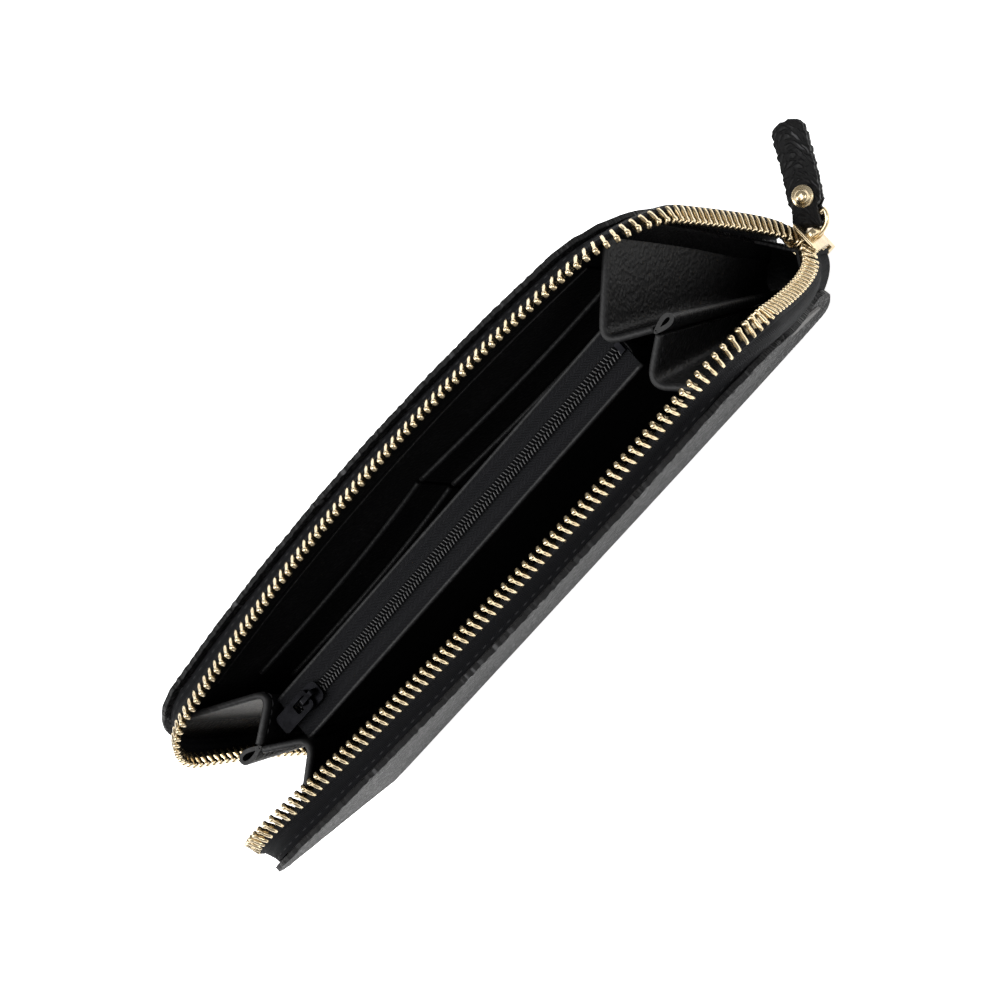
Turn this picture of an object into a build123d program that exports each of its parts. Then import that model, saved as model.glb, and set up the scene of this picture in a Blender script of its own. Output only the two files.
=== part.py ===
"""Zip around wallet standing open on its spine, built as the separate pieces it is sewn from.

Frame, millimetres: +X along the wallet towards the end where the slider waits, +Y from the front
cover to the back cover, +Z up from the spine to the mouth. The origin is the centre of the
spine's underside.
"""

import math
import os
from bisect import bisect_left

from build123d import *

os.makedirs("parts", exist_ok=True)

BACK = 1
FRONT = -1
LEFT = -1
RIGHT = 1
SIDE_NAMES = {BACK: "back", FRONT: "front"}
END_NAMES = {LEFT: "left", RIGHT: "right"}

# Overall shell
COVER_HALF = 97.0  # from the middle to a cover's left end
END_SETBACK = 8.0  # how much nearer the middle the covers stop at the slider's end
COVER_REACH = {LEFT: COVER_HALF, RIGHT: COVER_HALF - END_SETBACK}
COVER_TOP = 86.0  # height of a cover's leather edge
COVER_CORNER = 20.0  # corner radius of a cover at the mouth
SPINE_CUT = 24.0  # radius of the corner cut away between the spine and the slider's end
SPINE_SHELF = 3.0  # how far the spine reaches past the start of that cut
SPINE_WIDTH = 19.0  # distance between the outer faces of the covers at the spine
SPREAD = {
    BACK: (23.9, 28.3, 19.7),  # outer face at the mouth: left end, middle, right end
    FRONT: (24.5, 28.0, 27.5),
}

# Sheets, from the outside in
LEATHER = 1.3
BOARD = 0.6
LINING = 0.7
SLOT_SHEET = 0.7
GUSSET_SHEET = 1.2
POCKET_SHEET = 0.8
TAPE = 0.55
PLY_GAP = 0.08  # glue line between neighbouring sheets
BODY_GAP = 0.35  # air between pieces that move against each other
BOARD_MARGIN = 4.0  # how far the board stays inside the leather's outline
LINING_MARGIN = 2.5
BOARD_FOOT = 3.0  # height where a cover's board starts
LINING_FOOT = 4.5
SPINE_INLAY = 12.0  # width of the board and lining glued into the spine

# Main zip
ROW_HALF = COVER_HALF - 3.0  # half the length of the tooth rows
ROW_TOP = COVER_TOP + 4.9  # height of the tooth rows along the mouth
ROW_CORNER = COVER_CORNER - 1.7
ROW_SPREAD = {
    BACK: (14.2, 21.1, 13.0),  # tooth row at the mouth: left end, middle, right end
    FRONT: (16.4, 21.4, 21.7),
}
TOOTH_PITCH = 2.5
TOOTH_REACH = 4.0  # tooth length across the tape
TOOTH_WIDTH = 1.05
TOOTH_DEPTH = 2.3
ROW_MESHED = 1.35  # tooth centre from the middle plane where the rows are joined
ROW_PARTED = 3.0  # the same where the rows leave the slider
SPREAD_POWER = 0.6  # shape of the U that the opened rows make
TAPE_SPLIT = 0.4  # gap left where the tape's mouth run meets its end runs
TOOTH_SEAT = 0.15  # gap between a tooth's root and the tape's cord
TAPE_TUCK = 1.8  # depth of tape hidden behind the leather edge
TAPE_INSET = LEATHER + 0.45  # middle of the tape from the cover's outer face
MOUTH_SECTIONS = 8
END_SECTIONS = 30
STOP_SIZE = (3.0, 6.6, 2.6)  # x, y, z of the stop that joins the rows below the slider
TOP_STOP_SIZE = (2.6, 2.2, 3.0)

# Slider of the main zip
SLIDER_HEIGHT = 21.7  # height of the slider's middle on the end of the wallet
SLIDER_LENGTH = 11.0
SLIDER_MOUTH = 12.0  # width at the end where the rows part
SLIDER_TAIL = 9.2
SLIDER_PLATE = 0.8
SLIDER_CHANNEL = 3.1
SLIDER_FLANGE = 0.7
SLIDER_SLIT = 1.9  # gap between the flanges for the tape
SLIDER_WEDGE = 0.6  # width of the post that parts the rows
BRIDGE_LENGTH = 6.6
BRIDGE_WIDTH = 1.5
BRIDGE_RISE = 3.2  # clear height under the bridge
BRIDGE_STOCK = 0.9

# Pull
PULL_ANGLE = 54.0  # direction of the pull from +X towards +Y
RING_LEAN = 30.0  # direction from the bridge to the middle of the ring's bar
RING_RADIUS = 5.2  # half the length of the D ring's bar
RING_CORNER = 0.9
RING_WIRE = 0.7  # radius of the wire
TAB_LENGTH = 24.5  # from the ring's bar to the tab's tip
TAB_WIDTH = 9.2
TAB_NECK = 6.4  # width where the tab folds round the bar
TAB_SHOULDER = 2.6  # where the neck ends and the full width starts
TAB_PLY = 1.1
TAB_FOLD = 1.0  # inner radius of the fold round the bar
TAB_CORNER = 1.4
STUD_RADIUS = 2.7
STUD_DOME = 1.1
STUD_CAP = 0.6
STUD_INSET = 6.4  # stud centre from the ring's bar
STUD_POST = 1.0  # radius of the post through both plies

# Coin pocket in the middle
POCKET_LEFT = -63.0
POCKET_RIGHT = 65.5
POCKET_BOTTOM = 4.0
POCKET_TOP = 76.0
POCKET_FOOT = 1.3  # half the gap between the walls at the bottom
POCKET_MOUTH = 5.0  # half the gap between the walls at the top
POCKET_HEM = 0.4  # how far the pocket's zip band reaches past the walls
COIL_RADIUS = 0.55
COIL_SPLIT = 0.5  # gap between the two coils for the slider's divider
COIN_STOP = 1.6
COIN_SLIDER_X = -54.0
COIN_SLIDER_LENGTH = 7.0
COIN_SLIDER_WIDTH = 5.2
COIN_PLATE = 0.7
COIN_PLAY = 0.2  # air between the coin slider and the zip it runs on
COIN_FLANGE = 0.7
COIN_DIVIDER = (2.4, 0.2)
COIN_BRIDGE = (5.2, 1.2)
COIN_BRIDGE_RISE = 1.5
COIN_BRIDGE_STOCK = 0.6
COIN_PULL_LENGTH = 11.5
COIN_PULL_WIDTH = 5.0
COIN_PULL_STOCK = 0.8
COIN_PULL_WINDOW = (4.6, 2.6)

# Card slots, their backing panel and the slip pocket
SLOT_TOPS = (64.5, 53.5, 42.5)
SLOT_NAMES = ("upper", "middle", "lower")
SLOT_BOTTOM = 8.0
SLOT_COLUMNS = ((-70.0, -2.2), (-1.2, 66.5))
PANEL_TOP = 76.0
PANEL_BOTTOM = 6.0
PANEL_ENDS = (-74.0, 71.0)
SLIP_TOP = 68.0

# Gussets: plan of the folded end walls at the top, from the back cover to the front cover
GUSSET_TOP = 81.0
GUSSET_BOTTOM = {LEFT: 4.0, RIGHT: 15.0}
GUSSET_PLAN = {
    LEFT: {BACK: (-86.0, (-61.5, 8.3), (-72.0, 0.9)), FRONT: (-80.0, (-61.5, -8.6), (-72.0, -0.9))},
    RIGHT: {BACK: (81.0, (66.5, 7.0), (75.0, 0.0)), FRONT: (80.0, (68.0, -10.0), (75.0, -2.0))},
}
GUSSET_FOOT = 0.34  # depth of the folds at the spine as a share of their depth at the top


def save(piece, name):
    """Label a finished piece and write it as one STEP file."""
    piece.part.label = name
    export_step(piece.part, f"parts/{name}.step")


def bowed(values, share):
    """Value at a share from -1 to 1 along a parabola given at its left end, middle and right end."""
    left, middle, right = values
    return middle + (right - left) / 2 * share + ((left + right) / 2 - middle) * share**2


def cover_y(side, x, z, inset):
    """Y of a sheet of a cover, at an inset from the cover's outer face."""
    lean = bowed(SPREAD[side], x / COVER_HALF) - SPINE_WIDTH / 2
    return side * (SPINE_WIDTH / 2 + lean * z / COVER_TOP - inset)


def sheet_outline(side, z, ends, insets):
    """Level outline of a sheet between two insets, its long edges bowed like the cover."""
    first, last = ends
    middle = (first + last) / 2
    corners = []
    handles = []
    for inset in insets:
        near = Vector(first, cover_y(side, first, z, inset))
        far = Vector(last, cover_y(side, last, z, inset))
        top = Vector(middle, cover_y(side, middle, z, inset))
        corners.append((near, far))
        handles.append(top * 2 - (near + far) * 0.5)
    with BuildSketch(Plane.XY.offset(z)) as outline:
        with BuildLine():
            Bezier(corners[0][0], handles[0], corners[0][1])
            Line(corners[0][1], corners[1][1])
            Bezier(corners[1][1], handles[1], corners[1][0])
            Line(corners[1][0], corners[0][0])
        make_face()
    return outline.sketch


def cover_sheet(name, side, foot, insets, margin):
    """One full sheet of a cover, rounded at the mouth and cut away at the slider's spine corner."""
    top = COVER_TOP - margin
    ends = (margin - COVER_REACH[LEFT], COVER_REACH[RIGHT] - margin)
    with BuildPart() as sheet:
        loft([sheet_outline(side, z, ends, insets) for z in (foot, top)], ruled=True)
        with BuildSketch(Plane.XZ):
            with Locations((sum(ends) / 2, (foot + top) / 2)):
                Rectangle(ends[1] - ends[0], top - foot)
            fillet(vertices().group_by(Axis.Y)[-1], COVER_CORNER - margin)
            fillet(vertices().group_by(Axis.Y)[0].sort_by(Axis.X)[-1], SPINE_CUT - max(margin, foot))
        extrude(amount=2 * COVER_HALF, both=True, mode=Mode.INTERSECT)
    save(sheet, name)


def inner_sheets(name, side, columns, heights, insets):
    """Rectangular sheets sewn to the inside of a cover, one for each column."""
    with BuildPart() as sheet:
        for ends in columns:
            loft([sheet_outline(side, z, ends, insets) for z in heights], ruled=True)
    save(sheet, name)


LEATHER_PLY = (0.0, LEATHER)
BOARD_PLY = (LEATHER + PLY_GAP, LEATHER + PLY_GAP + BOARD)
LINING_PLY = (BOARD_PLY[1] + PLY_GAP, BOARD_PLY[1] + PLY_GAP + LINING)
PANEL_PLY = (LINING_PLY[1] + PLY_GAP, LINING_PLY[1] + PLY_GAP + SLOT_SHEET)

for side in (BACK, FRONT):
    cover_sheet(f"{SIDE_NAMES[side]}_cover_leather", side, LEATHER + BODY_GAP, LEATHER_PLY, 0)
    cover_sheet(f"{SIDE_NAMES[side]}_cover_board", side, BOARD_FOOT, BOARD_PLY, BOARD_MARGIN)
    cover_sheet(f"{SIDE_NAMES[side]}_cover_lining", side, LINING_FOOT, LINING_PLY, LINING_MARGIN)

inner_sheets("card_panel", BACK, [PANEL_ENDS], (PANEL_BOTTOM, PANEL_TOP), PANEL_PLY)
inner_sheets("slip_pocket", FRONT, [PANEL_ENDS], (PANEL_BOTTOM, SLIP_TOP), PANEL_PLY)
# Each slot sheet lies on the one above it, so the lowest slot stands furthest into the wallet.
for index, (slot_name, slot_top) in enumerate(zip(SLOT_NAMES, SLOT_TOPS)):
    near = PANEL_PLY[1] + PLY_GAP + index * (SLOT_SHEET + PLY_GAP)
    inner_sheets(
        f"card_slots_{slot_name}", BACK, SLOT_COLUMNS, (SLOT_BOTTOM, slot_top), (near, near + SLOT_SHEET)
    )


# Spine: leather, board and lining in one stack
def spine_sheet(name, width, margin, bottom, thickness):
    """A flat strip along the spine, as far as the cut corner."""
    first = margin - COVER_REACH[LEFT]
    last = COVER_REACH[RIGHT] - SPINE_CUT + SPINE_SHELF - margin
    with BuildPart() as sheet:
        with BuildSketch(Plane.XY.offset(bottom)):
            with Locations(((first + last) / 2, 0)):
                Rectangle(last - first, width)
        extrude(amount=thickness)
    save(sheet, name)


BOARD_LEVEL = LEATHER + PLY_GAP
LINING_LEVEL = BOARD_LEVEL + BOARD + PLY_GAP
spine_sheet("spine_leather", SPINE_WIDTH, 0, 0, LEATHER)
spine_sheet("spine_board", SPINE_INLAY, BOARD_MARGIN, BOARD_LEVEL, BOARD)
spine_sheet("spine_lining", SPINE_INLAY, LINING_MARGIN, LINING_LEVEL, LINING)


# Main zip: tooth rows and tapes
ROW_FOOT = SLIDER_HEIGHT - SLIDER_LENGTH / 2
ROW_PROFILE = (ROW_HALF, ROW_TOP, ROW_CORNER)
EDGE_PROFILE = (COVER_HALF - TAPE_TUCK, COVER_TOP - TAPE_TUCK, COVER_CORNER - TAPE_TUCK)
CORNER_RUN = ROW_CORNER * math.pi / 2
END_RUN = CORNER_RUN + ROW_TOP - ROW_CORNER - ROW_FOOT
CORNER_SHARE = CORNER_RUN / END_RUN
MOUTH_HALF = ROW_HALF - ROW_CORNER


def end_profile(profile, share):
    """X and Z on the way round a corner and down the end, at a share of the whole run."""
    half, top, corner = profile
    if share < CORNER_SHARE:
        turn = share / CORNER_SHARE * math.pi / 2
        return half - corner + corner * math.sin(turn), top - corner + corner * math.cos(turn)
    drop = (share - CORNER_SHARE) / (1 - CORNER_SHARE)
    return half, (top - corner) * (1 - drop) + ROW_FOOT * drop


def row_y(side, x, z):
    """Y of a tooth row: joined in the slider's tail, parted at its mouth, then opening in a U."""
    parting = SLIDER_HEIGHT + SLIDER_LENGTH / 2
    if z > parting:
        rise = (z - parting) / (ROW_TOP - parting)
        wide = bowed(ROW_SPREAD[side], x / ROW_HALF)
        return side * (ROW_PARTED + (wide - ROW_PARTED) * rise**SPREAD_POWER)
    share = max(0.0, (z - SLIDER_HEIGHT) / (parting - SLIDER_HEIGHT))
    return side * (ROW_MESHED + (ROW_PARTED - ROW_MESHED) * share)


def mouth_pair(side, share):
    """Row point and tape edge point at a share from -1 to 1 along the mouth."""
    x = (MOUTH_HALF - TAPE_SPLIT) * share
    edge_x = (EDGE_PROFILE[0] - EDGE_PROFILE[2] - TAPE_SPLIT) * share
    row = Vector(x, row_y(side, x, ROW_TOP), ROW_TOP)
    edge = Vector(edge_x, cover_y(side, edge_x, EDGE_PROFILE[1], TAPE_INSET), EDGE_PROFILE[1])
    return row, edge


def end_pair(side, end, share):
    """Row point and tape edge point at a share of the run round a corner and down an end."""
    row_x, row_z = end_profile(ROW_PROFILE, share)
    edge_x, edge_z = end_profile(EDGE_PROFILE, share)
    row = Vector(end * row_x, row_y(side, end * row_x, row_z), row_z)
    edge = Vector(end * edge_x, cover_y(side, end * edge_x, edge_z, TAPE_INSET), edge_z)
    return row, edge


def ribbon(name, pairs):
    """Tape lofted through its cross-sections, each a thin parallelogram square to the run."""
    sections = []
    for index, (row, edge) in enumerate(pairs):
        before = pairs[max(index - 1, 0)][0]
        after = pairs[min(index + 1, len(pairs) - 1)][0]
        along = (after - before).normalized()
        across = (row - edge).normalized()
        across = (across - along * across.dot(along)).normalized()
        lift = along.cross(across) * (TAPE / 2)
        root = row - across * (TOOTH_REACH / 2 + TOOTH_SEAT)
        corners = [edge - lift, root - lift, root + lift, edge + lift]
        sections.append(make_face(Polyline(*corners, close=True, mode=Mode.PRIVATE), mode=Mode.PRIVATE))
    with BuildPart() as tape:
        loft(sections, ruled=True)
    save(tape, name)


def tooth_planes(pair_at, start, stop, first_gap):
    """Planes at one pitch along a row, each with X across the tape and Z along the row."""
    steps = 400
    shares = [start + (stop - start) * step / steps for step in range(steps + 1)]
    rows = [pair_at(share)[0] for share in shares]
    lengths = [0.0]
    for before, after in zip(rows, rows[1:]):
        lengths.append(lengths[-1] + (after - before).length)
    planes = []
    distance = first_gap
    while distance < lengths[-1] - TOOTH_PITCH / 2:
        index = min(max(bisect_left(lengths, distance), 1), steps)
        row, edge = pair_at(shares[index])
        tangent = (rows[index] - rows[index - 1]).normalized()
        planes.append(Plane(origin=row, x_dir=(row - edge).normalized(), z_dir=tangent))
        distance += TOOTH_PITCH
    return planes


def teeth(name, planes):
    """A group of equal metal teeth."""
    with BuildPart() as group:
        with Locations(*planes):
            Box(TOOTH_REACH, TOOTH_DEPTH, TOOTH_WIDTH)
    save(group, name)


for side in (BACK, FRONT):
    side_name = SIDE_NAMES[side]
    mouth_shares = [2 * step / MOUTH_SECTIONS - 1 for step in range(MOUTH_SECTIONS + 1)]
    ribbon(f"{side_name}_zip_tape_mouth", [mouth_pair(side, share) for share in mouth_shares])
    mouth_row = tooth_planes(lambda share: mouth_pair(side, share), -1.0, 1.0, TOOTH_PITCH / 2)
    teeth(f"{side_name}_zip_teeth_mouth", mouth_row)
    for end in (LEFT, RIGHT):
        end_name = END_NAMES[end]
        end_shares = [step / END_SECTIONS for step in range(END_SECTIONS + 1)]
        ribbon(f"{side_name}_zip_tape_{end_name}", [end_pair(side, end, share) for share in end_shares])
        # Counted from the foot, the two rows are half a pitch out of step, so that they mesh.
        first_gap = TOOTH_PITCH * (0.5 if side == BACK else 1.0)
        end_row = tooth_planes(lambda share: end_pair(side, end, share), 1.0, 0.0, first_gap)
        teeth(f"{side_name}_zip_teeth_{end_name}", end_row)

with BuildPart() as bottom_stop:
    with Locations((ROW_HALF, 0, ROW_FOOT - STOP_SIZE[2] / 2 - 1.5)):
        Box(*STOP_SIZE)
    fillet(bottom_stop.edges().filter_by(Axis.X), 0.8)
save(bottom_stop, "zip_bottom_stop")

with BuildPart() as top_stops:
    with Locations(*[(-ROW_HALF, side * 2.0, ROW_FOOT - TOP_STOP_SIZE[2] / 2 - 1.0) for side in (BACK, FRONT)]):
        Box(*TOP_STOP_SIZE)
save(top_stops, "zip_top_stops")

# Slider: two plates with flanges, joined by the wedge that parts the rows
OUTER_PLATE_X = ROW_HALF + SLIDER_CHANNEL / 2
SLIDER_LOW = SLIDER_HEIGHT - SLIDER_LENGTH / 2
SLIDER_HIGH = SLIDER_HEIGHT + SLIDER_LENGTH / 2
with BuildPart() as slider_body:
    for plate_x in (OUTER_PLATE_X, -OUTER_PLATE_X + 2 * ROW_HALF - SLIDER_PLATE):
        with BuildSketch(Plane.YZ.offset(plate_x)):
            with BuildLine():
                Polyline(
                    (-SLIDER_TAIL / 2, SLIDER_LOW),
                    (SLIDER_TAIL / 2, SLIDER_LOW),
                    (SLIDER_MOUTH / 2, SLIDER_HIGH),
                    (-SLIDER_MOUTH / 2, SLIDER_HIGH),
                    close=True,
                )
            make_face()
            fillet(vertices(), 1.6)
        extrude(amount=SLIDER_PLATE)
    flange_depth = (SLIDER_CHANNEL - SLIDER_SLIT) / 2
    for flange_x in (ROW_HALF - SLIDER_CHANNEL / 2, ROW_HALF + SLIDER_SLIT / 2):
        for side in (BACK, FRONT):
            with BuildSketch(Plane.YZ.offset(flange_x)):
                with BuildLine():
                    Polyline(
                        (side * SLIDER_TAIL / 2, SLIDER_LOW + 1.6),
                        (side * SLIDER_MOUTH / 2, SLIDER_HIGH - 1.6),
                        (side * (SLIDER_MOUTH / 2 - SLIDER_FLANGE), SLIDER_HIGH - 1.6),
                        (side * (SLIDER_TAIL / 2 - SLIDER_FLANGE), SLIDER_LOW + 1.6),
                        close=True,
                    )
                make_face()
            extrude(amount=flange_depth)
    with Locations((ROW_HALF, 0, SLIDER_HIGH - 1.1)):
        Box(SLIDER_CHANNEL, SLIDER_WEDGE, 1.6)
save(slider_body, "slider_body")

PLATE_TOP_X = OUTER_PLATE_X + SLIDER_PLATE
with BuildPart() as slider_bridge:
    with BuildSketch(Plane.XZ.offset(-BRIDGE_WIDTH / 2)):
        with Locations((PLATE_TOP_X + (BRIDGE_RISE + BRIDGE_STOCK) / 2, SLIDER_HEIGHT)):
            Rectangle(BRIDGE_RISE + BRIDGE_STOCK, BRIDGE_LENGTH)
        fillet(vertices().group_by(Axis.X)[-1], 2.0)
        with Locations((PLATE_TOP_X + BRIDGE_RISE / 2, SLIDER_HEIGHT)):
            Rectangle(BRIDGE_RISE, BRIDGE_LENGTH - 2 * BRIDGE_STOCK, mode=Mode.SUBTRACT)
    extrude(amount=BRIDGE_WIDTH)
save(slider_bridge, "slider_bridge")

# Pull: a D ring through the bridge, and a leather tab folded round its bar and riveted
RING_ROOT = Vector(PLATE_TOP_X + BRIDGE_RISE / 2, 0, SLIDER_HEIGHT)
BAR_CENTRE = RING_ROOT + Vector(RING_RADIUS, 0, 0).rotate(Axis.Z, RING_LEAN)
PULL_PLANE = Plane(
    origin=BAR_CENTRE,
    x_dir=Vector(1, 0, 0).rotate(Axis.Z, PULL_ANGLE),
    z_dir=Vector(0, 0, 1),
)
SIDE_PLANE = Plane(origin=BAR_CENTRE, x_dir=PULL_PLANE.x_dir, z_dir=-PULL_PLANE.y_dir)
with BuildPart() as pull_ring:
    with BuildLine(PULL_PLANE) as ring_path:
        Line((0, -RING_RADIUS), (0, RING_RADIUS))
        ThreePointArc((0, RING_RADIUS), (-RING_RADIUS, 0), (0, -RING_RADIUS))
        fillet(ring_path.vertices(), RING_CORNER)
    with BuildSketch(SIDE_PLANE):
        Circle(RING_WIRE)
    sweep(path=ring_path.wire())
save(pull_ring, "pull_ring")

TAB_HALF = TAB_PLY + PLY_GAP / 2
TAB_OUTER = TAB_FOLD + TAB_PLY
with BuildPart() as pull_tab:
    with BuildSketch(SIDE_PLANE):
        Circle(TAB_OUTER)
        with Locations((TAB_LENGTH / 2, 0)):
            Rectangle(TAB_LENGTH, 2 * TAB_HALF)
        Circle(TAB_FOLD, mode=Mode.SUBTRACT)
    extrude(amount=TAB_WIDTH / 2, both=True)
    with BuildSketch(PULL_PLANE):
        with BuildLine():
            Polyline(
                (-2 * TAB_OUTER, -TAB_NECK / 2),
                (TAB_SHOULDER, -TAB_NECK / 2),
                (TAB_SHOULDER + TAB_WIDTH / 4, -TAB_WIDTH / 2),
                (TAB_LENGTH, -TAB_WIDTH / 2),
                (TAB_LENGTH, TAB_WIDTH / 2),
                (TAB_SHOULDER + TAB_WIDTH / 4, TAB_WIDTH / 2),
                (TAB_SHOULDER, TAB_NECK / 2),
                (-2 * TAB_OUTER, TAB_NECK / 2),
                close=True,
            )
        make_face()
        fillet(vertices().group_by(Axis.X)[-1], TAB_CORNER)
    extrude(amount=2 * TAB_OUTER, both=True, mode=Mode.INTERSECT)
    with Locations(PULL_PLANE):
        with Locations((STUD_INSET, 0, 0)):
            Cylinder(STUD_POST, 4 * TAB_OUTER, mode=Mode.SUBTRACT)
save(pull_tab, "pull_tab")

with BuildPart() as pull_stud:
    with Locations(PULL_PLANE):
        with Locations((STUD_INSET, 0, TAB_HALF + PLY_GAP)):
            Cylinder(STUD_RADIUS, STUD_DOME, align=(Align.CENTER, Align.CENTER, Align.MIN))
        fillet(pull_stud.edges().sort_by(Axis.Z)[-1], STUD_DOME * 0.9)
        with Locations((STUD_INSET, 0, 0)):
            Cylinder(STUD_POST - PLY_GAP, 2 * (TAB_HALF + PLY_GAP))
        with Locations((STUD_INSET, 0, -TAB_HALF - PLY_GAP)):
            Cylinder(STUD_RADIUS * 0.8, STUD_CAP, align=(Align.CENTER, Align.CENTER, Align.MAX))
save(pull_stud, "pull_stud")


# Coin pocket: two leaning walls with a small coil zip lying flat across their tops
POCKET_ENDS = (POCKET_LEFT, POCKET_RIGHT)
POCKET_MIDDLE = (POCKET_LEFT + POCKET_RIGHT) / 2
POCKET_LENGTH = POCKET_RIGHT - POCKET_LEFT
BAND_HALF = POCKET_MOUTH + POCKET_SHEET + POCKET_HEM
COIL_LEVEL = POCKET_TOP + PLY_GAP + TAPE + COIL_RADIUS
for side in (BACK, FRONT):
    with BuildPart() as wall:
        for level, inner in ((POCKET_BOTTOM, POCKET_FOOT), (POCKET_TOP, POCKET_MOUTH)):
            with BuildSketch(Plane.XY.offset(level)):
                with Locations((POCKET_MIDDLE, side * (inner + POCKET_SHEET / 2))):
                    Rectangle(POCKET_LENGTH, POCKET_SHEET)
        loft(ruled=True)
    save(wall, f"coin_pocket_{SIDE_NAMES[side]}_wall")
    with BuildPart() as band:
        with BuildSketch(Plane.XY.offset(POCKET_TOP + PLY_GAP)):
            with Locations((POCKET_MIDDLE, side * (BAND_HALF + COIL_SPLIT / 2) / 2)):
                Rectangle(POCKET_LENGTH, BAND_HALF - COIL_SPLIT / 2)
        extrude(amount=TAPE)
    save(band, f"coin_zip_{SIDE_NAMES[side]}_tape")

with BuildPart() as coin_coil:
    for side in (BACK, FRONT):
        with BuildSketch(Plane.YZ.offset(POCKET_LEFT + COIN_STOP)):
            with Locations((side * (COIL_SPLIT / 2 + COIL_RADIUS), COIL_LEVEL)):
                Circle(COIL_RADIUS)
    extrude(amount=POCKET_LENGTH - 2 * COIN_STOP)
save(coin_coil, "coin_zip_coil")

with BuildPart() as coin_stops:
    for stop_x in (POCKET_LEFT + COIN_STOP / 2, POCKET_RIGHT - COIN_STOP / 2):
        with Locations((stop_x, 0, COIL_LEVEL)):
            Box(COIN_STOP - 2 * PLY_GAP, 4 * COIL_RADIUS + COIL_SPLIT, 2 * COIL_RADIUS)
save(coin_stops, "coin_zip_stops")

COIN_LID = COIL_LEVEL + COIL_RADIUS + COIN_PLAY
COIN_LID_TOP = COIN_LID + COIN_PLATE
COIN_FLOOR_TOP = POCKET_TOP + PLY_GAP - COIN_PLAY
with BuildPart() as coin_slider:
    with Locations((COIN_SLIDER_X, 0, COIN_LID + COIN_PLATE / 2)):
        Box(COIN_SLIDER_LENGTH, COIN_SLIDER_WIDTH, COIN_PLATE)
    with Locations((COIN_SLIDER_X, 0, COIN_FLOOR_TOP - COIN_PLATE / 2)):
        Box(COIN_SLIDER_LENGTH, COIN_SLIDER_WIDTH, COIN_PLATE)
    fillet(coin_slider.edges().filter_by(Axis.Z), 1.5)
    flange_foot = POCKET_TOP + PLY_GAP + TAPE + COIN_PLAY
    for side in (BACK, FRONT):
        flange_y = side * (COIN_SLIDER_WIDTH - COIN_FLANGE) / 2
        with Locations((COIN_SLIDER_X, flange_y, (flange_foot + COIN_LID) / 2)):
            Box(COIN_SLIDER_LENGTH - 4.0, COIN_FLANGE, COIN_LID - flange_foot)
    divider_x = COIN_SLIDER_X - COIN_SLIDER_LENGTH / 2 + COIN_DIVIDER[0] / 2 + 0.3
    with Locations((divider_x, 0, (COIN_FLOOR_TOP + COIN_LID) / 2)):
        Box(*COIN_DIVIDER, COIN_LID - COIN_FLOOR_TOP)
save(coin_slider, "coin_slider")

with BuildPart() as coin_bridge:
    with BuildSketch(Plane.XZ.offset(-COIN_BRIDGE[1] / 2)):
        with Locations((COIN_SLIDER_X, COIN_LID_TOP + (COIN_BRIDGE_RISE + COIN_BRIDGE_STOCK) / 2)):
            Rectangle(COIN_BRIDGE[0], COIN_BRIDGE_RISE + COIN_BRIDGE_STOCK)
        fillet(vertices().group_by(Axis.Y)[-1], 1.2)
        with Locations((COIN_SLIDER_X, COIN_LID_TOP + COIN_BRIDGE_RISE / 2)):
            Rectangle(COIN_BRIDGE[0] - 2 * COIN_BRIDGE_STOCK, COIN_BRIDGE_RISE, mode=Mode.SUBTRACT)
    extrude(amount=COIN_BRIDGE[1])
save(coin_bridge, "coin_slider_bridge")

COIN_BAR_X = COIN_SLIDER_X
COIN_PULL_LEVEL = COIN_LID_TOP + COIN_BRIDGE_RISE / 2
with BuildPart() as coin_pull:
    with BuildSketch(Plane.XY.offset(COIN_PULL_LEVEL - COIN_PULL_STOCK / 2)):
        with Locations((COIN_BAR_X + COIN_PULL_STOCK / 2 - COIN_PULL_LENGTH / 2, 0)):
            RectangleRounded(COIN_PULL_LENGTH, COIN_PULL_WIDTH, 1.2)
        with Locations((COIN_BAR_X - COIN_PULL_STOCK / 2 - COIN_PULL_WINDOW[0] / 2, 0)):
            RectangleRounded(*COIN_PULL_WINDOW, 0.5, mode=Mode.SUBTRACT)
    extrude(amount=COIN_PULL_STOCK)
save(coin_pull, "coin_pull")


# Gussets: folded end walls, each in two halves sewn together at the coin pocket's end
ATTACH_INSET = LINING_PLY[1] + PLY_GAP + GUSSET_SHEET * 0.6


def gusset_points(side, end, z):
    """Plan of half a gusset at a height: cover edge, fold and seam."""
    attach_x, fold, seam = GUSSET_PLAN[end][side]
    drop = (GUSSET_TOP - z) / (GUSSET_TOP - GUSSET_BOTTOM[end])
    depth = 1 - (1 - GUSSET_FOOT) * drop
    attach_y = cover_y(side, attach_x, z, ATTACH_INSET)
    narrowing = attach_y / cover_y(side, attach_x, GUSSET_TOP, ATTACH_INSET)
    points = [Vector(attach_x, attach_y)]
    for x, y in (fold, seam):
        points.append(Vector(attach_x + (x - attach_x) * depth, y * max(narrowing, 0.4)))
    return points


def folded_outline(points, z):
    """Level outline of a sheet of even thickness that follows a path with one fold."""
    first, fold, last = points
    before = (fold - first).normalized()
    after = (last - fold).normalized()
    normals = [Vector(-before.Y, before.X), Vector(-after.Y, after.X)]
    mitre = (normals[0] + normals[1]).normalized()
    mitre = mitre * (1 / mitre.dot(normals[0]))
    half = GUSSET_SHEET / 2
    offsets = [(first, normals[0]), (fold, mitre), (last, normals[1])]
    outline = [point + normal * half for point, normal in offsets]
    outline += [point - normal * half for point, normal in reversed(offsets)]
    with BuildSketch(Plane.XY.offset(z)) as section:
        with BuildLine():
            Polyline(*outline, close=True)
        make_face()
    return section.sketch


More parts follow.
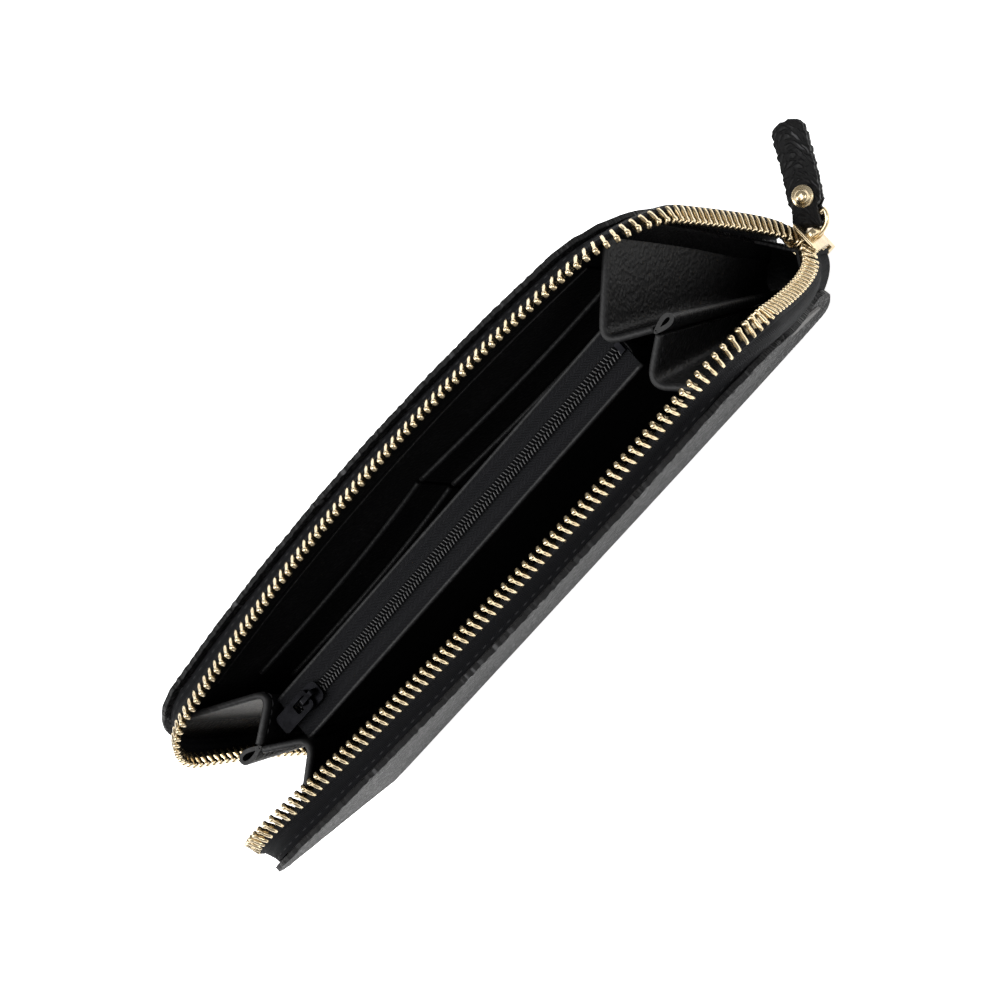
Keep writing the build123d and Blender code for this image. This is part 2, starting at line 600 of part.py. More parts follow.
for end in (LEFT, RIGHT):
    for side in (BACK, FRONT):
        with BuildPart() as gusset:
            levels = (GUSSET_BOTTOM[end], GUSSET_TOP)
            loft([folded_outline(gusset_points(side, end, z), z) for z in levels], ruled=True)
        save(gusset, f"{END_NAMES[end]}_gusset_{SIDE_NAMES[side]}")
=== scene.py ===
"""Zip around wallet standing open on its spine, in black leather, woven tape and pale gold metal."""

import logging
import math
from dataclasses import dataclass, field
from enum import Enum

import bpy
import numpy as np
from mathutils import Matrix


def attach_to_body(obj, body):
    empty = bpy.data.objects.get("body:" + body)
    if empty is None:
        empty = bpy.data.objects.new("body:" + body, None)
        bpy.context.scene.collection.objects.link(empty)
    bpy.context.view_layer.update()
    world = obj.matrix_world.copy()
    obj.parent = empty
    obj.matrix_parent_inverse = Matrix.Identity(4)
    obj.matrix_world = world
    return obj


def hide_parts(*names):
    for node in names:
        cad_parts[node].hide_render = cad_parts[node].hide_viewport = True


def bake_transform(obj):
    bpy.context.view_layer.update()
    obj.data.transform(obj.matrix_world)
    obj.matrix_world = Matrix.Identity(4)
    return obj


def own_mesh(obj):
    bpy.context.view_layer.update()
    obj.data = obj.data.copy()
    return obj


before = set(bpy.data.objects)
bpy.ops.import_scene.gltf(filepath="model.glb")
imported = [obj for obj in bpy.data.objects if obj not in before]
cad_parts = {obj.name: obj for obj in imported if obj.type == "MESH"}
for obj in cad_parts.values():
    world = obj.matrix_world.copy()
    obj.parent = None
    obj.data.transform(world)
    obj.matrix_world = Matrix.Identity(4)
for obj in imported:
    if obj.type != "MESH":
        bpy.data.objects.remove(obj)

Array = np.ndarray
LOG = logging.getLogger("wallet")
MM = 0.001
MIX_FIRST, MIX_SECOND, MIX_COLOUR = 6, 7, 2  # sockets of a Mix node that blends colours


class Side(Enum):
    """The two covers."""

    BACK = 1
    FRONT = -1


class End(Enum):
    """The two ends of the wallet."""

    LEFT = -1
    RIGHT = 1


# ---------------------------------------------------------------- shader kit


class Wire:
    """One output of a node; arithmetic on it adds Math nodes."""

    def __init__(self, graph: "Graph", output: bpy.types.NodeSocket) -> None:
        """Keeps the graph and the output that this wire comes from."""
        self.graph = graph
        self.output = output

    def __add__(self, other: "Wire | float") -> "Wire":
        """Sum."""
        return self.graph.math("ADD", self, other)

    def __radd__(self, other: float) -> "Wire":
        """Sum, with the number first."""
        return self.graph.math("ADD", other, self)

    def __sub__(self, other: "Wire | float") -> "Wire":
        """Difference."""
        return self.graph.math("SUBTRACT", self, other)

    def __rsub__(self, other: float) -> "Wire":
        """Difference, with the number first."""
        return self.graph.math("SUBTRACT", other, self)

    def __mul__(self, other: "Wire | float") -> "Wire":
        """Product."""
        return self.graph.math("MULTIPLY", self, other)

    def __rmul__(self, other: float) -> "Wire":
        """Product, with the number first."""
        return self.graph.math("MULTIPLY", other, self)

    def __truediv__(self, other: "Wire | float") -> "Wire":
        """Quotient."""
        return self.graph.math("DIVIDE", self, other)

    def rise(self, low: float, high: float) -> "Wire":
        """Smooth step from 0 at low to 1 at high."""
        settings = {"interpolation_type": "SMOOTHSTEP"}
        inputs = {"Value": self, "From Min": low, "From Max": high}
        return self.graph.node("ShaderNodeMapRange", settings, inputs, "Result")


class Graph:
    """A material and the nodes that it is built from."""

    def __init__(self, name: str) -> None:
        """Starts a material with one Principled shader."""
        self.material = bpy.data.materials.new(name)
        self.material.use_nodes = True
        self.tree = self.material.node_tree
        self.tree.nodes.clear()
        self.shader = self.tree.nodes.new("ShaderNodeBsdfPrincipled")
        output = self.tree.nodes.new("ShaderNodeOutputMaterial")
        self.tree.links.new(self.shader.outputs[0], output.inputs[0])

    def node(self, kind: str, settings: dict, inputs: dict, output: str | int = 0) -> Wire:
        """Adds a node.

        Args:
            kind: the node's type.
            settings: attributes, which are set first.
            inputs: a value or a wire for each socket, by name or number.
            output: which output the wire comes from.

        Returns:
            The wire of that output.
        """
        made = self.tree.nodes.new(kind)
        for key, value in settings.items():
            setattr(made, key, value)
        for key, value in inputs.items():
            self.put(made.inputs[key], value)
        return Wire(self, made.outputs[output])

    def put(self, socket: bpy.types.NodeSocket, value: "Wire | float | tuple") -> None:
        """Links a wire to a socket, or sets the socket's own value."""
        if isinstance(value, Wire):
            self.tree.links.new(value.output, socket)
        else:
            socket.default_value = value

    def math(self, operation: str, first: "Wire | float", second: "Wire | float" = 0.0) -> Wire:
        """One Math node."""
        return self.node("ShaderNodeMath", {"operation": operation}, {0: first, 1: second})

    def where(self, scale: tuple, uv: bool, turn: float = 0.0) -> Wire:
        """Coordinates for a pattern.

        Args:
            scale: cells per millimetre along each axis.
            uv: the piece's own UV map, in metres, or else Object coordinates.
            turn: angle about the third axis, radians.

        Returns:
            The scaled coordinates.
        """
        source = self.node("ShaderNodeTexCoord", {}, {}, "UV" if uv else "Object")
        inputs = {"Vector": source, "Scale": tuple(s / MM for s in scale), "Rotation": (0, 0, turn)}
        return self.node("ShaderNodeMapping", {}, inputs)

    def noise(self, where: Wire, scale: float, detail: float = 3.0, rough: float = 0.55) -> Wire:
        """Fractal noise between 0 and 1."""
        inputs = {"Vector": where, "Scale": scale, "Detail": detail, "Roughness": rough}
        return self.node("ShaderNodeTexNoise", {}, inputs, 0)

    def cells(self, where: Wire, scale: float, feature: str, jitter: float = 1.0) -> Wire:
        """Distance in a Voronoi pattern."""
        inputs = {"Vector": where, "Scale": scale, "Randomness": jitter}
        return self.node("ShaderNodeTexVoronoi", {"feature": feature}, inputs, "Distance")

    def blend(self, share: "Wire | float", first: tuple, second: tuple) -> Wire:
        """Colour that goes from first to second with share."""
        inputs = {"Factor": share, MIX_FIRST: (*first, 1.0), MIX_SECOND: (*second, 1.0)}
        return self.node("ShaderNodeMix", {"data_type": "RGBA"}, inputs, MIX_COLOUR)

    def part(self, vector: Wire, axis: str) -> Wire:
        """One number, X, Y or Z, of a vector."""
        return self.node("ShaderNodeSeparateXYZ", {}, {"Vector": vector}, axis)

    def relief(self, height: Wire, strength: float, depth: float) -> Wire:
        """Bump from a height; depth is in millimetres."""
        inputs = {"Height": height, "Strength": strength, "Distance": depth * MM}
        return self.node("ShaderNodeBump", {}, inputs)

    def surface(self, **sockets: "Wire | float | tuple") -> bpy.types.Material:
        """Sets the shader's sockets, named with _ for a space, and returns the material."""
        for key, value in sockets.items():
            self.put(self.shader.inputs[key.replace("_", " ")], value)
        return self.material


# ---------------------------------------------------------------- finishes


@dataclass(frozen=True)
class EmbossedLeather:
    """Outer leather, embossed with rough uneven scales whose tops get a painted grey highlight."""

    name: str = "embossed_leather"
    scale_length: float = 2.3
    scale_width: float = 1.5
    deep: tuple = (0.002, 0.002, 0.0022)
    # painted highlight: the lighter grey colour given to the tops of the scales
    wear_and_highlight: tuple = (0.045, 0.045, 0.047)

    def material(self) -> bpy.types.Material:
        """Scales are the distance to the edge of stretched cells, cut by fine creases."""
        g = Graph(self.name)
        where = g.where((1 / self.scale_length, 1 / self.scale_width, 1), True, 0.5)
        fine = g.where((1, 1, 1), True)
        edge = g.cells(where, 1.0, "DISTANCE_TO_EDGE", 0.85)
        scales = edge.rise(0.02, 0.26)
        creases = g.noise(fine, 2.2, 6.0, 0.7)
        patches = g.noise(fine, 0.16, 3.0)
        height = scales + creases * 0.55
        # painted highlight mask: the scale tops, where the patches allow, turn lighter grey
        tops = (height * patches.rise(0.34, 0.7)).rise(0.7, 1.35)
        return g.surface(
            Base_Color=g.blend(tops, self.deep, self.wear_and_highlight),
            Roughness=0.62 - scales * 0.2 + creases * 0.12,
            Normal=g.relief(height, 1.0, 0.3),
            Specular_IOR_Level=0.2,
        )


@dataclass(frozen=True)
class GrainLeather:
    """Fine pebble grained leather of the inside."""

    name: str = "grain_leather"
    grain: float = 0.85
    deep: tuple = (0.0016, 0.0016, 0.0018)
    wear_and_highlight: tuple = (0.009, 0.009, 0.0092)
    rough: float = 0.46
    gloss: float = 0.26

    def material(self) -> bpy.types.Material:
        """Pebbles are one minus the distance to the nearest of scattered points."""
        g = Graph(self.name)
        where = g.where((1, 1, 1), True)
        pebbles = 1 - g.cells(where, 1 / self.grain, "SMOOTH_F1", 1.0)
        creases = g.noise(where, 1.1, 5.0, 0.65)
        patches = g.noise(where, 0.09, 3.0)
        height = pebbles + creases * 0.5
        return g.surface(
            Base_Color=g.blend((height * 0.7 * patches).rise(0.2, 0.75), self.deep, self.wear_and_highlight),
            Roughness=self.rough + creases * 0.16 - patches * 0.08,
            Normal=g.relief(height, 0.9, 0.2),
            Specular_IOR_Level=self.gloss,
        )


@dataclass(frozen=True)
class TwillTape:
    """Woven tape with twill lines that turn back and forth in narrow ribs."""

    name: str = "twill_tape"
    rib: float = 1.35
    thread: float = 0.5
    deep: tuple = (0.0010, 0.0010, 0.0013)
    lit: tuple = (0.013, 0.0135, 0.0165)

    def material(self) -> bpy.types.Material:
        """Lines follow u plus the folded v, so that each rib slants the other way."""
        g = Graph(self.name)
        where = g.where((1, 1, 1), True)
        folded = g.math("PINGPONG", g.part(where, "Y"), self.rib)
        phase = (g.part(where, "X") + folded) * (2 * math.pi / self.thread)
        lines = g.math("SINE", phase) * 0.5 + 0.5
        ribs = folded / self.rib
        fuzz = g.noise(where, 5.0, 4.0, 0.7)
        height = lines * 0.7 + fuzz * 0.5
        return g.surface(
            Base_Color=g.blend((lines * 0.75 + fuzz * 0.4 - 0.2).rise(0.0, 1.0), self.deep, self.lit),
            Roughness=0.72 + fuzz * 0.2 - ribs * 0.06,
            Normal=g.relief(height, 1.0, 0.26),
            Specular_IOR_Level=0.16,
        )


@dataclass(frozen=True)
class Metal:
    """Plated metal with faint rubbing."""

    name: str
    pale: tuple
    deep: tuple
    rough: float = 0.22
    metallic: float = 1.0

    def material(self) -> bpy.types.Material:
        """Colour and roughness drift with two sizes of noise."""
        g = Graph(self.name)
        where = g.where((1, 1, 1), False)
        cloud = g.noise(where, 0.35, 3.0)
        rub = g.noise(where, 4.0, 5.0, 0.7)
        return g.surface(
            Base_Color=g.blend(cloud.rise(0.3, 0.7), self.pale, self.deep),
            Roughness=self.rough + rub * 0.12 - 0.06,
            Metallic=self.metallic,
            Normal=g.relief(rub, 0.12, 0.05),
        )


@dataclass(frozen=True)
class Thread:
    """Twisted sewing thread or knitted band."""

    name: str = "sewing_thread"
    deep: tuple = (0.004, 0.004, 0.0045)
    lit: tuple = (0.03, 0.03, 0.032)

    def material(self) -> bpy.types.Material:
        """Fine noise stretched over the twist."""
        g = Graph(self.name)
        where = g.where((1, 1, 1), False)
        twist = g.noise(where, 3.5, 4.0, 0.7)
        return g.surface(
            Base_Color=g.blend(twist, self.deep, self.lit),
            Roughness=0.55 + twist * 0.25,
            Normal=g.relief(twist, 0.5, 0.08),
            Specular_IOR_Level=0.35,
        )


@dataclass(frozen=True)
class FibreBoard:
    """Grey stiffener between leather and lining."""

    name: str = "fibre_board"
    pale: tuple = (0.16, 0.155, 0.15)
    deep: tuple = (0.09, 0.088, 0.085)

    def material(self) -> bpy.types.Material:
        """Fibres are stretched noise."""
        g = Graph(self.name)
        fibres = g.noise(g.where((0.6, 3.0, 3.0), False), 1.5, 5.0, 0.7)
        return g.surface(
            Base_Color=g.blend(fibres, self.deep, self.pale),
            Roughness=0.85 + fibres * 0.1,
            Normal=g.relief(fibres, 0.4, 0.1),
        )


@dataclass(frozen=True)
class CoilPlastic:
    """Black nylon of the small coil zip."""

    name: str = "coil_nylon"
    deep: tuple = (0.0015, 0.0015, 0.0017)
    lit: tuple = (0.007, 0.007, 0.008)

    def material(self) -> bpy.types.Material:
        """Slightly uneven gloss."""
        g = Graph(self.name)
        cloud = g.noise(g.where((1, 1, 1), False), 1.2, 3.0)
        return g.surface(
            Base_Color=g.blend(cloud, self.deep, self.lit),
            Roughness=0.3 + cloud * 0.15,
            Normal=g.relief(cloud, 0.2, 0.05),
        )


class Finish(Enum):
    """Every finish of the wallet, each with a short name."""

    OUTER = "outer_leather"
    EDGE = "turned_edge"
    INNER = "lining_leather"
    TAPE = "zip_tape"
    GOLD = "gold_metal"
    BLACK = "black_metal"
    COIL = "coil_plastic"
    BOARD = "board"
    THREAD = "sewing_thread"


@dataclass
class Wardrobe:
    """The materials, each made once."""

    made: dict = field(default_factory=dict)

    def __post_init__(self) -> None:
        """Builds every finish."""
        pale, deep = (0.72, 0.60, 0.40), (0.62, 0.49, 0.30)
        black, blacker = (0.006, 0.006, 0.007), (0.003, 0.003, 0.0035)
        turned = GrainLeather("turned_edge", 0.7, (0.008, 0.008, 0.0085), (0.03, 0.03, 0.031), 0.5)
        self.made = {
            Finish.OUTER: EmbossedLeather().material(),
            Finish.INNER: GrainLeather().material(),
            Finish.EDGE: turned.material(),
            Finish.TAPE: TwillTape().material(),
            Finish.GOLD: Metal("pale_gold", pale, deep, 0.26).material(),
            Finish.BLACK: Metal("black_plated", black, blacker, 0.3).material(),
            Finish.COIL: CoilPlastic().material(),
            Finish.BOARD: FibreBoard().material(),
            Finish.THREAD: Thread().material(),
        }


# ---------------------------------------------------------------- mesh kit


def unit(vectors: Array) -> Array:
    """Vectors divided by their length."""
    return vectors / np.maximum(np.linalg.norm(vectors, axis=-1, keepdims=True), 1e-12)


def running(points: Array, axis: int = 0) -> Array:
    """Running length along one axis of a grid: the sum of the steps from its start."""
    steps = np.linalg.norm(np.diff(points, axis=axis), axis=-1)
    start = np.zeros_like(np.take(steps, [0], axis=axis))
    return np.cumsum(np.concatenate([start, steps], axis=axis), axis=axis)


def along_path(path: Array, distances: Array) -> Array:
    """Points at distances along a path, linear between its points."""
    length = running(path)
    return np.stack([np.interp(distances, length, path[:, axis]) for axis in range(path.shape[1])], -1)


def ripple(u: Array, v: Array, seed: float = 0.0) -> Array:
    """Soft uneven wave between about -1 and 1: three sine products of growing pitch."""
    wave = np.sin(u * 0.11 + seed) * np.cos(v * 0.13 + 1.7 * seed)
    wave = wave + 0.6 * np.sin(u * 0.29 + v * 0.17 + 2.3 * seed)
    return (wave + 0.35 * np.sin(u * 0.71 - v * 0.53 + 3.1 * seed)) / 1.95


def ragged(u: Array, seed: float = 0.0) -> Array:
    """Fine uneven edge between about -1 and 1: sines whose pitches don't repeat."""
    wave = np.sin(u * 2.1 + seed) + 0.8 * np.sin(u * 3.7 + 2 * seed) + 0.6 * np.sin(u * 6.3 + 3 * seed)
    return wave / 2.4


def quads(rows: int, columns: int, around: bool = False) -> Array:
    """Corner numbers of the faces of a grid, closed from the last column to the first if around."""
    index = np.arange(rows * columns).reshape(rows, columns)
    if around:
        index = np.concatenate([index, index[:, :1]], axis=1)
    corners = [index[:-1, :-1], index[:-1, 1:], index[1:, 1:], index[1:, :-1]]
    return np.stack(corners, -1).reshape(-1, 4)


def lid(count: int, first: int) -> Array:
    """Faces over a ring of an even count of corners: strips between its two halves."""
    i = np.arange(count // 2 - 1)
    return first + np.stack([i, i + 1, count - 2 - i, count - 1 - i], -1)


def build(name: str, points: Array, faces: Array, uv: Array | None = None) -> bpy.types.Object:
    """Makes a mesh object at the origin.

    Args:
        name: the piece's name.
        points: corners in millimetres.
        faces: four corner numbers for each face.
        uv: a place in the pattern for each corner of each face, in millimetres.

    Returns:
        The object.
    """
    mesh = bpy.data.meshes.new(name)
    mesh.from_pydata((points.reshape(-1, 3) * MM).tolist(), [], faces.tolist())
    if uv is None:
        flat = points.reshape(-1, 3)[faces.reshape(-1)]
        uv = flat[:, [0, 2]]
    layer = mesh.uv_layers.new(name="UVMap")
    layer.data.foreach_set("uv", (uv.reshape(-1, 2) * MM).astype(np.float32).ravel())
    mesh.polygons.foreach_set("use_smooth", np.ones(len(faces), bool))
    mesh.validate()
    mesh.update()
    made = bpy.data.objects.new(name, mesh)
    bpy.context.scene.collection.objects.link(made)
    return made


def sheet(
    name: str, points: Array, thickness: float, rounding: float = 0.3, around: bool = False
) -> bpy.types.Object:
    """Thick sheet about a grid of points, with rounded edges.

    The UV map is the running length along the rows and the columns of the grid.

    Args:
        name: the piece's name.
        points: middle surface, rows by columns, in millimetres.
        thickness: across the sheet.
        rounding: radius of the edges.
        around: the last column joins the first.

    Returns:
        The object.
    """
    rows, columns = points.shape[:2]
    wide = np.concatenate([points, points[:, :1]], axis=1) if around else points
    flat = np.stack([running(wide, 1), running(wide, 0)], -1).reshape(-1, 2)
    made = build(name, points, quads(rows, columns, around), flat[quads(rows, wide.shape[1]).reshape(-1)])
    wall = made.modifiers.new("wall", "SOLIDIFY")
    wall.thickness = thickness * MM
    wall.offset = 0.0
    edge = made.modifiers.new("edge", "BEVEL")
    edge.width = rounding * MM
    edge.segments = 2
    edge.limit_method = "ANGLE"
    edge.angle_limit = math.radians(50)
    edge.harden_normals = True
    return made


def outward(points: Array, faces: Array) -> Array:
    """Faces turned so that the volume they close is positive."""
    corner = points.reshape(-1, 3)[faces]
    volume = np.einsum("ij,ij->i", corner[:, 0], np.cross(corner[:, 1], corner[:, 2])).sum()
    volume += np.einsum("ij,ij->i", corner[:, 0], np.cross(corner[:, 2], corner[:, 3])).sum()
    return faces if volume > 0 else faces[:, ::-1]


def carried(path: Array, up: Array, profile: Array) -> tuple[Array, Array]:
    """A closed profile carried along a path and capped at both ends.

    A point is the path's point plus the profile's first number sideways and its second upwards.

    Args:
        path: points, in millimetres.
        up: direction of the profile's second number, for each point or for all.
        profile: an even count of points.

    Returns:
        Corners and faces.
    """
    along = unit(np.gradient(path, axis=0))
    side = unit(np.cross(along, np.broadcast_to(up, path.shape)))
    top = np.cross(side, along)
    points = path[:, None] + side[:, None] * profile[None, :, :1] + top[:, None] * profile[None, :, 1:]
    rows, count = points.shape[:2]
    faces = [quads(rows, count, True), lid(count, 0)[:, ::-1], lid(count, (rows - 1) * count)]
    faces = np.concatenate(faces)
    return points.reshape(-1, 3), outward(points, faces)


def oval(width: float, height: float, count: int = 8, square: float = 2.0) -> Array:
    """Closed oval profile; a square above 2 makes it fuller at its corners."""
    turn = (np.arange(count) + 0.5) * 2 * np.pi / count
    cosine, sine = np.cos(turn), np.sin(turn)
    power = 2.0 / square
    return np.stack(
        [
            width / 2 * np.sign(cosine) * np.abs(cosine) ** power,
            height / 2 * np.sign(sine) * np.abs(sine) ** power,
        ],
        -1,
    )


def lofted(stations: Array, count: int = 8, square: float = 3.0) -> tuple[Array, Array]:
    """Small closed shape along X: an oval at each station of x, width along Z and depth along Y."""
    ring = oval(2.0, 2.0, count, square)
    x = np.broadcast_to(stations[:, None, 0], (len(stations), count))
    y = stations[:, None, 2] / 2 * ring[None, :, 0]
    z = stations[:, None, 1] / 2 * ring[None, :, 1]
    points = np.stack([x, y, z], -1)
    faces = np.concatenate(
        [quads(len(stations), count, True), lid(count, 0)[:, ::-1], lid(count, (len(stations) - 1) * count)]
    )
    return points.reshape(-1, 3), outward(points, faces)


def scattered(shape: tuple[Array, Array], origins: Array, axes: Array) -> tuple[Array, Array]:
    """Copies of a small shape.

    A copy's point is its origin plus the shape's point taken along the copy's three axes.

    Args:
        shape: corners and faces of the small shape.
        origins: a place for each copy.
        axes: three directions for each copy, as rows.

    Returns:
        Corners and faces of all copies.
    """
    corners, faces = shape
    points = origins[:, None] + np.einsum("vi,kij->kvj", corners, axes)
    shift = np.arange(len(origins))[:, None, None] * len(corners)
    return points.reshape(-1, 3), (faces[None] + shift).reshape(-1, 4)


def frames_at(path: Array, up: Array, distances: Array) -> tuple[Array, Array]:
    """Places and axes (along, up crossed, up) at distances along a path."""
    up = np.broadcast_to(up, path.shape)
    origins = along_path(path, distances)
    ahead = along_path(path, distances + 0.05) - along_path(path, distances - 0.05)
    along = unit(ahead)
    length = running(path)
    lift = np.stack([np.interp(distances, length, up[:, axis]) for axis in range(3)], -1)
    side = unit(np.cross(lift, along))
    top = np.cross(along, side)
    return origins, np.stack([along, side, top], 1)


@dataclass(frozen=True)
class Stitching:
    """A run of sewn stitches."""

    pitch: float = 2.9
    length: float = 2.1
    width: float = 0.46
    sunk: float = 0.12

    def run(self, name: str, path: Array, up: Array) -> bpy.types.Object:
        """Stitches along a path; each is a small oval loft that dips at both of its ends."""
        total = running(path)[-1]
        distances = np.arange(self.pitch * 0.6, total - self.pitch * 0.5, self.pitch)
        origins, axes = frames_at(path, up, distances)
        half = self.length / 2
        share = np.array([-1.0, -0.82, -0.3, 0.3, 0.82, 1.0])
        thick = np.array([0.35, 0.8, 1.0, 1.0, 0.8, 0.35]) * self.width
        corners, faces = lofted(np.stack([share * half, thick, thick], -1), 6, 2.0)
        corners = corners - np.array([0, 0, 1.0]) * (self.sunk + 0.3 * (corners[:, :1] / half) ** 4)
        points, all_faces = scattered((corners, faces), origins, axes)
        return build(name, points, all_faces)


LIP_STITCHES = Stitching(2.4, 1.7, 0.34)


# ---------------------------------------------------------------- dressing


@dataclass(frozen=True)
class Hold:
    """What a piece moves with: one body; a second body and two points may be given, and then the piece is
    only baked in place.
    """

    body: str
    onto: str = ""
    start: tuple = (0.0, 0.0, 0.0)
    end: tuple = (0.0, 0.0, 0.0)

    def take(self, piece: bpy.types.Object) -> None:
        """Fixes a finished piece to its body; with a second body it is only baked in place and fixed to none.
        The points are in millimetres.
        """
        if self.onto:
            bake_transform(piece)
        else:
            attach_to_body(piece, self.body)


@dataclass
class Workshop:
    """Dresses pieces and keeps count of them."""

    wardrobe: Wardrobe
    count: int = 0

    def dress(
        self, piece: bpy.types.Object, finish: Finish, hold: Hold, nodes: tuple = ()
    ) -> bpy.types.Object:
        """Gives a piece its material, its body and the nodes that it stands for.

        Args:
            piece: the finished object.
            finish: its material.
            hold: what it moves with.
            nodes: CAD nodes that it replaces.

        Returns:
            The piece.
        """
        piece.data.materials.clear()
        piece.data.materials.append(self.wardrobe.made[finish])
        hold.take(piece)
        if nodes:
            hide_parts(*nodes)
        self.count += 1
        LOG.info("%s: %s on %s", piece.name, finish.name.lower(), hold.body)
        return piece

    def stitch(self, name: str, path: Array, up: Array, hold: Hold, style: Stitching) -> None:
        """Sews a run of stitches on a piece that moves with the same hold."""
        self.dress(style.run(name, path, up), Finish.THREAD, hold)

    def recolour(self, nodes: tuple, finish: Finish) -> None:
        """Gives CAD nodes a finish."""
        for name in nodes:
            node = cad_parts[name]
            node.data.materials.clear()
            node.data.materials.append(self.wardrobe.made[finish])
            LOG.info("%s: %s kept from the model", name, finish.name.lower())


# ---------------------------------------------------------------- the wallet's shape


def bowed(values: tuple, share: Array) -> Array:
    """Parabola through its values at -1, 0 and 1."""
    left, middle, right = values
    return middle + (right - left) / 2 * share + ((left + right) / 2 - middle) * share**2


@dataclass(frozen=True)
class Shape:
    """Sizes of the opened wallet that all pieces share, in millimetres."""

    half: float = 97.0
    reach: tuple = (97.0, 89.0)
    top: float = 86.0
    corner: float = 20.0
    cut: float = 24.0
    spine: float = 19.0
    back_spread: tuple = (23.9, 28.3, 19.7)
    front_spread: tuple = (24.5, 28.0, 27.5)
    row_half: float = 94.0
    row_top: float = 90.9
    row_corner: float = 18.3
    back_rows: tuple = (14.2, 21.1, 13.0)
    front_rows: tuple = (16.4, 21.4, 21.7)
    row_foot: float = 16.2
    slider_middle: float = 21.7
    parting: float = 27.2
    meshed: float = 1.35
    parted: float = 3.0
    u_power: float = 0.6
    tape_tuck: float = 1.8
    tape_inset: float = 1.75
    drawn_in: float = 2.6
    drawn_level: float = 24.0

    def cover_y(self, side: Side, x: Array, z: Array, inset: float) -> Array:
        """Y of a sheet of a cover: a straight lean from the spine to the bowed mouth."""
        spread = self.back_spread if side is Side.BACK else self.front_spread
        lean = bowed(spread, x / self.half) - self.spine / 2
        drawn = self.drawn_in * np.clip((x - 45) / 44, 0, 1) ** 2
        drawn = drawn * np.exp(-(((z - self.drawn_level) / 20.0) ** 2)) * np.clip(z / 12, 0, 1)
        return side.value * (self.spine / 2 + lean * z / self.top - inset - drawn)

    def outline(self, x: Array, margin: float) -> Array:
        """Height of a cover's outline at x: level, then a quarter circle at each corner."""
        radius = self.corner - margin
        flat = np.where(x > 0, self.reach[1] - self.corner, self.reach[0] - self.corner)
        past = np.clip(np.abs(x) - flat, 0, radius)
        return self.top - margin - radius + np.sqrt(np.maximum(radius**2 - past**2, 0))

    def foot(self, x: Array, margin: float) -> Array:
        """Height of a cover's lower edge: nothing, then a quarter circle towards the slider."""
        radius = self.cut - margin
        past = np.clip(x - (self.reach[1] - self.cut), 0, radius)
        return radius - np.sqrt(np.maximum(radius**2 - past**2, 0)) + margin * (past > 0)

    def columns(self, margin: float, straight: int, bend: int) -> Array:
        """X of the columns of a cover's sheet, closer together round the corners."""
        radius = self.corner - margin
        turn = np.sin(np.linspace(0, np.pi / 2, bend + 1)[1:])
        first, last = self.corner - self.reach[0], self.reach[1] - self.corner
        level = np.linspace(first, last, straight)
        return np.concatenate([first - radius * turn[::-1], level, last + radius * turn])

    def row_y(self, side: Side, x: Array, z: Array) -> Array:
        """Y of a tooth row: joined low down, parted at the slider, then opening in a U."""
        rows = self.back_rows if side is Side.BACK else self.front_rows
        rise = np.clip((z - self.parting) / (self.row_top - self.parting), 0, None)
        open_y = self.parted + (bowed(rows, x / self.row_half) - self.parted) * rise**self.u_power
        share = np.clip((z - self.slider_middle) / (self.parting - self.slider_middle), 0, 1)
        shut_y = self.meshed + (self.parted - self.meshed) * share
        return side.value * np.where(z > self.parting, open_y, shut_y)

    def run(self, ends: tuple, top: float, corner: float, foot: float) -> Array:
        """X and Z from the left foot, up, over the mouth and down to the right foot.

        Each stretch has a fixed count of points, so that two runs can be paired.
        """
        turn = np.linspace(0, np.pi / 2, 31)[1:]
        rise = np.linspace(foot, top - corner, 61)
        parts = []
        for half in ends:
            bend = np.stack([half - corner + corner * np.cos(turn), top - corner + corner * np.sin(turn)], -1)
            parts.append(np.concatenate([np.stack([np.full_like(rise, half), rise], -1), bend]))
        left, right = parts
        level = np.linspace(corner - ends[0], ends[1] - corner, 121)[1:-1]
        mouth = np.stack([level, np.full_like(level, top)], -1)
        return np.concatenate([left * np.array([-1, 1]), mouth, right[::-1]])

    def zip_run(self, side: Side) -> tuple[Array, Array, Array]:
        """The tooth row, the line that the teeth point away from, and the tape's sewn edge."""
        row = self.run((self.row_half, self.row_half), self.row_top, self.row_corner, self.row_foot)
        tuck = self.tape_tuck
        guides = (self.half - tuck, self.half - tuck)
        sewn = (self.reach[0] - tuck, self.reach[1] - tuck)
        lines = [row]
        for ends in (guides, sewn):
            lines.append(self.run(ends, self.top - tuck, self.corner - tuck, self.row_foot))
        y = [self.row_y(side, row[:, 0], row[:, 1])]
        y += [self.cover_y(side, line[:, 0], line[:, 1], self.tape_inset) for line in lines[1:]]
        return tuple(np.stack([line[:, 0], level, line[:, 1]], -1) for line, level in zip(lines, y))


def cover_name(side: Side) -> str:
    """The body of a cover."""
    return f"{side.name.lower()}_cover"


def fold_hold(side: Side) -> Hold:
    """Leather that turns from the spine up into a cover."""
    return Hold("spine", cover_name(side), (0, side.value * 9, 1.0), (0, side.value * 9, 7.0))


def rows_hold(side: Side) -> Hold:
    """Hold of the zip pieces: the spine and their cover, with points low down at the slider's channel and
    higher up.
    """
    return Hold("spine", cover_name(side), (0, 0, 24.0), (0, 0, 37.0))


# ---------------------------------------------------------------- covers


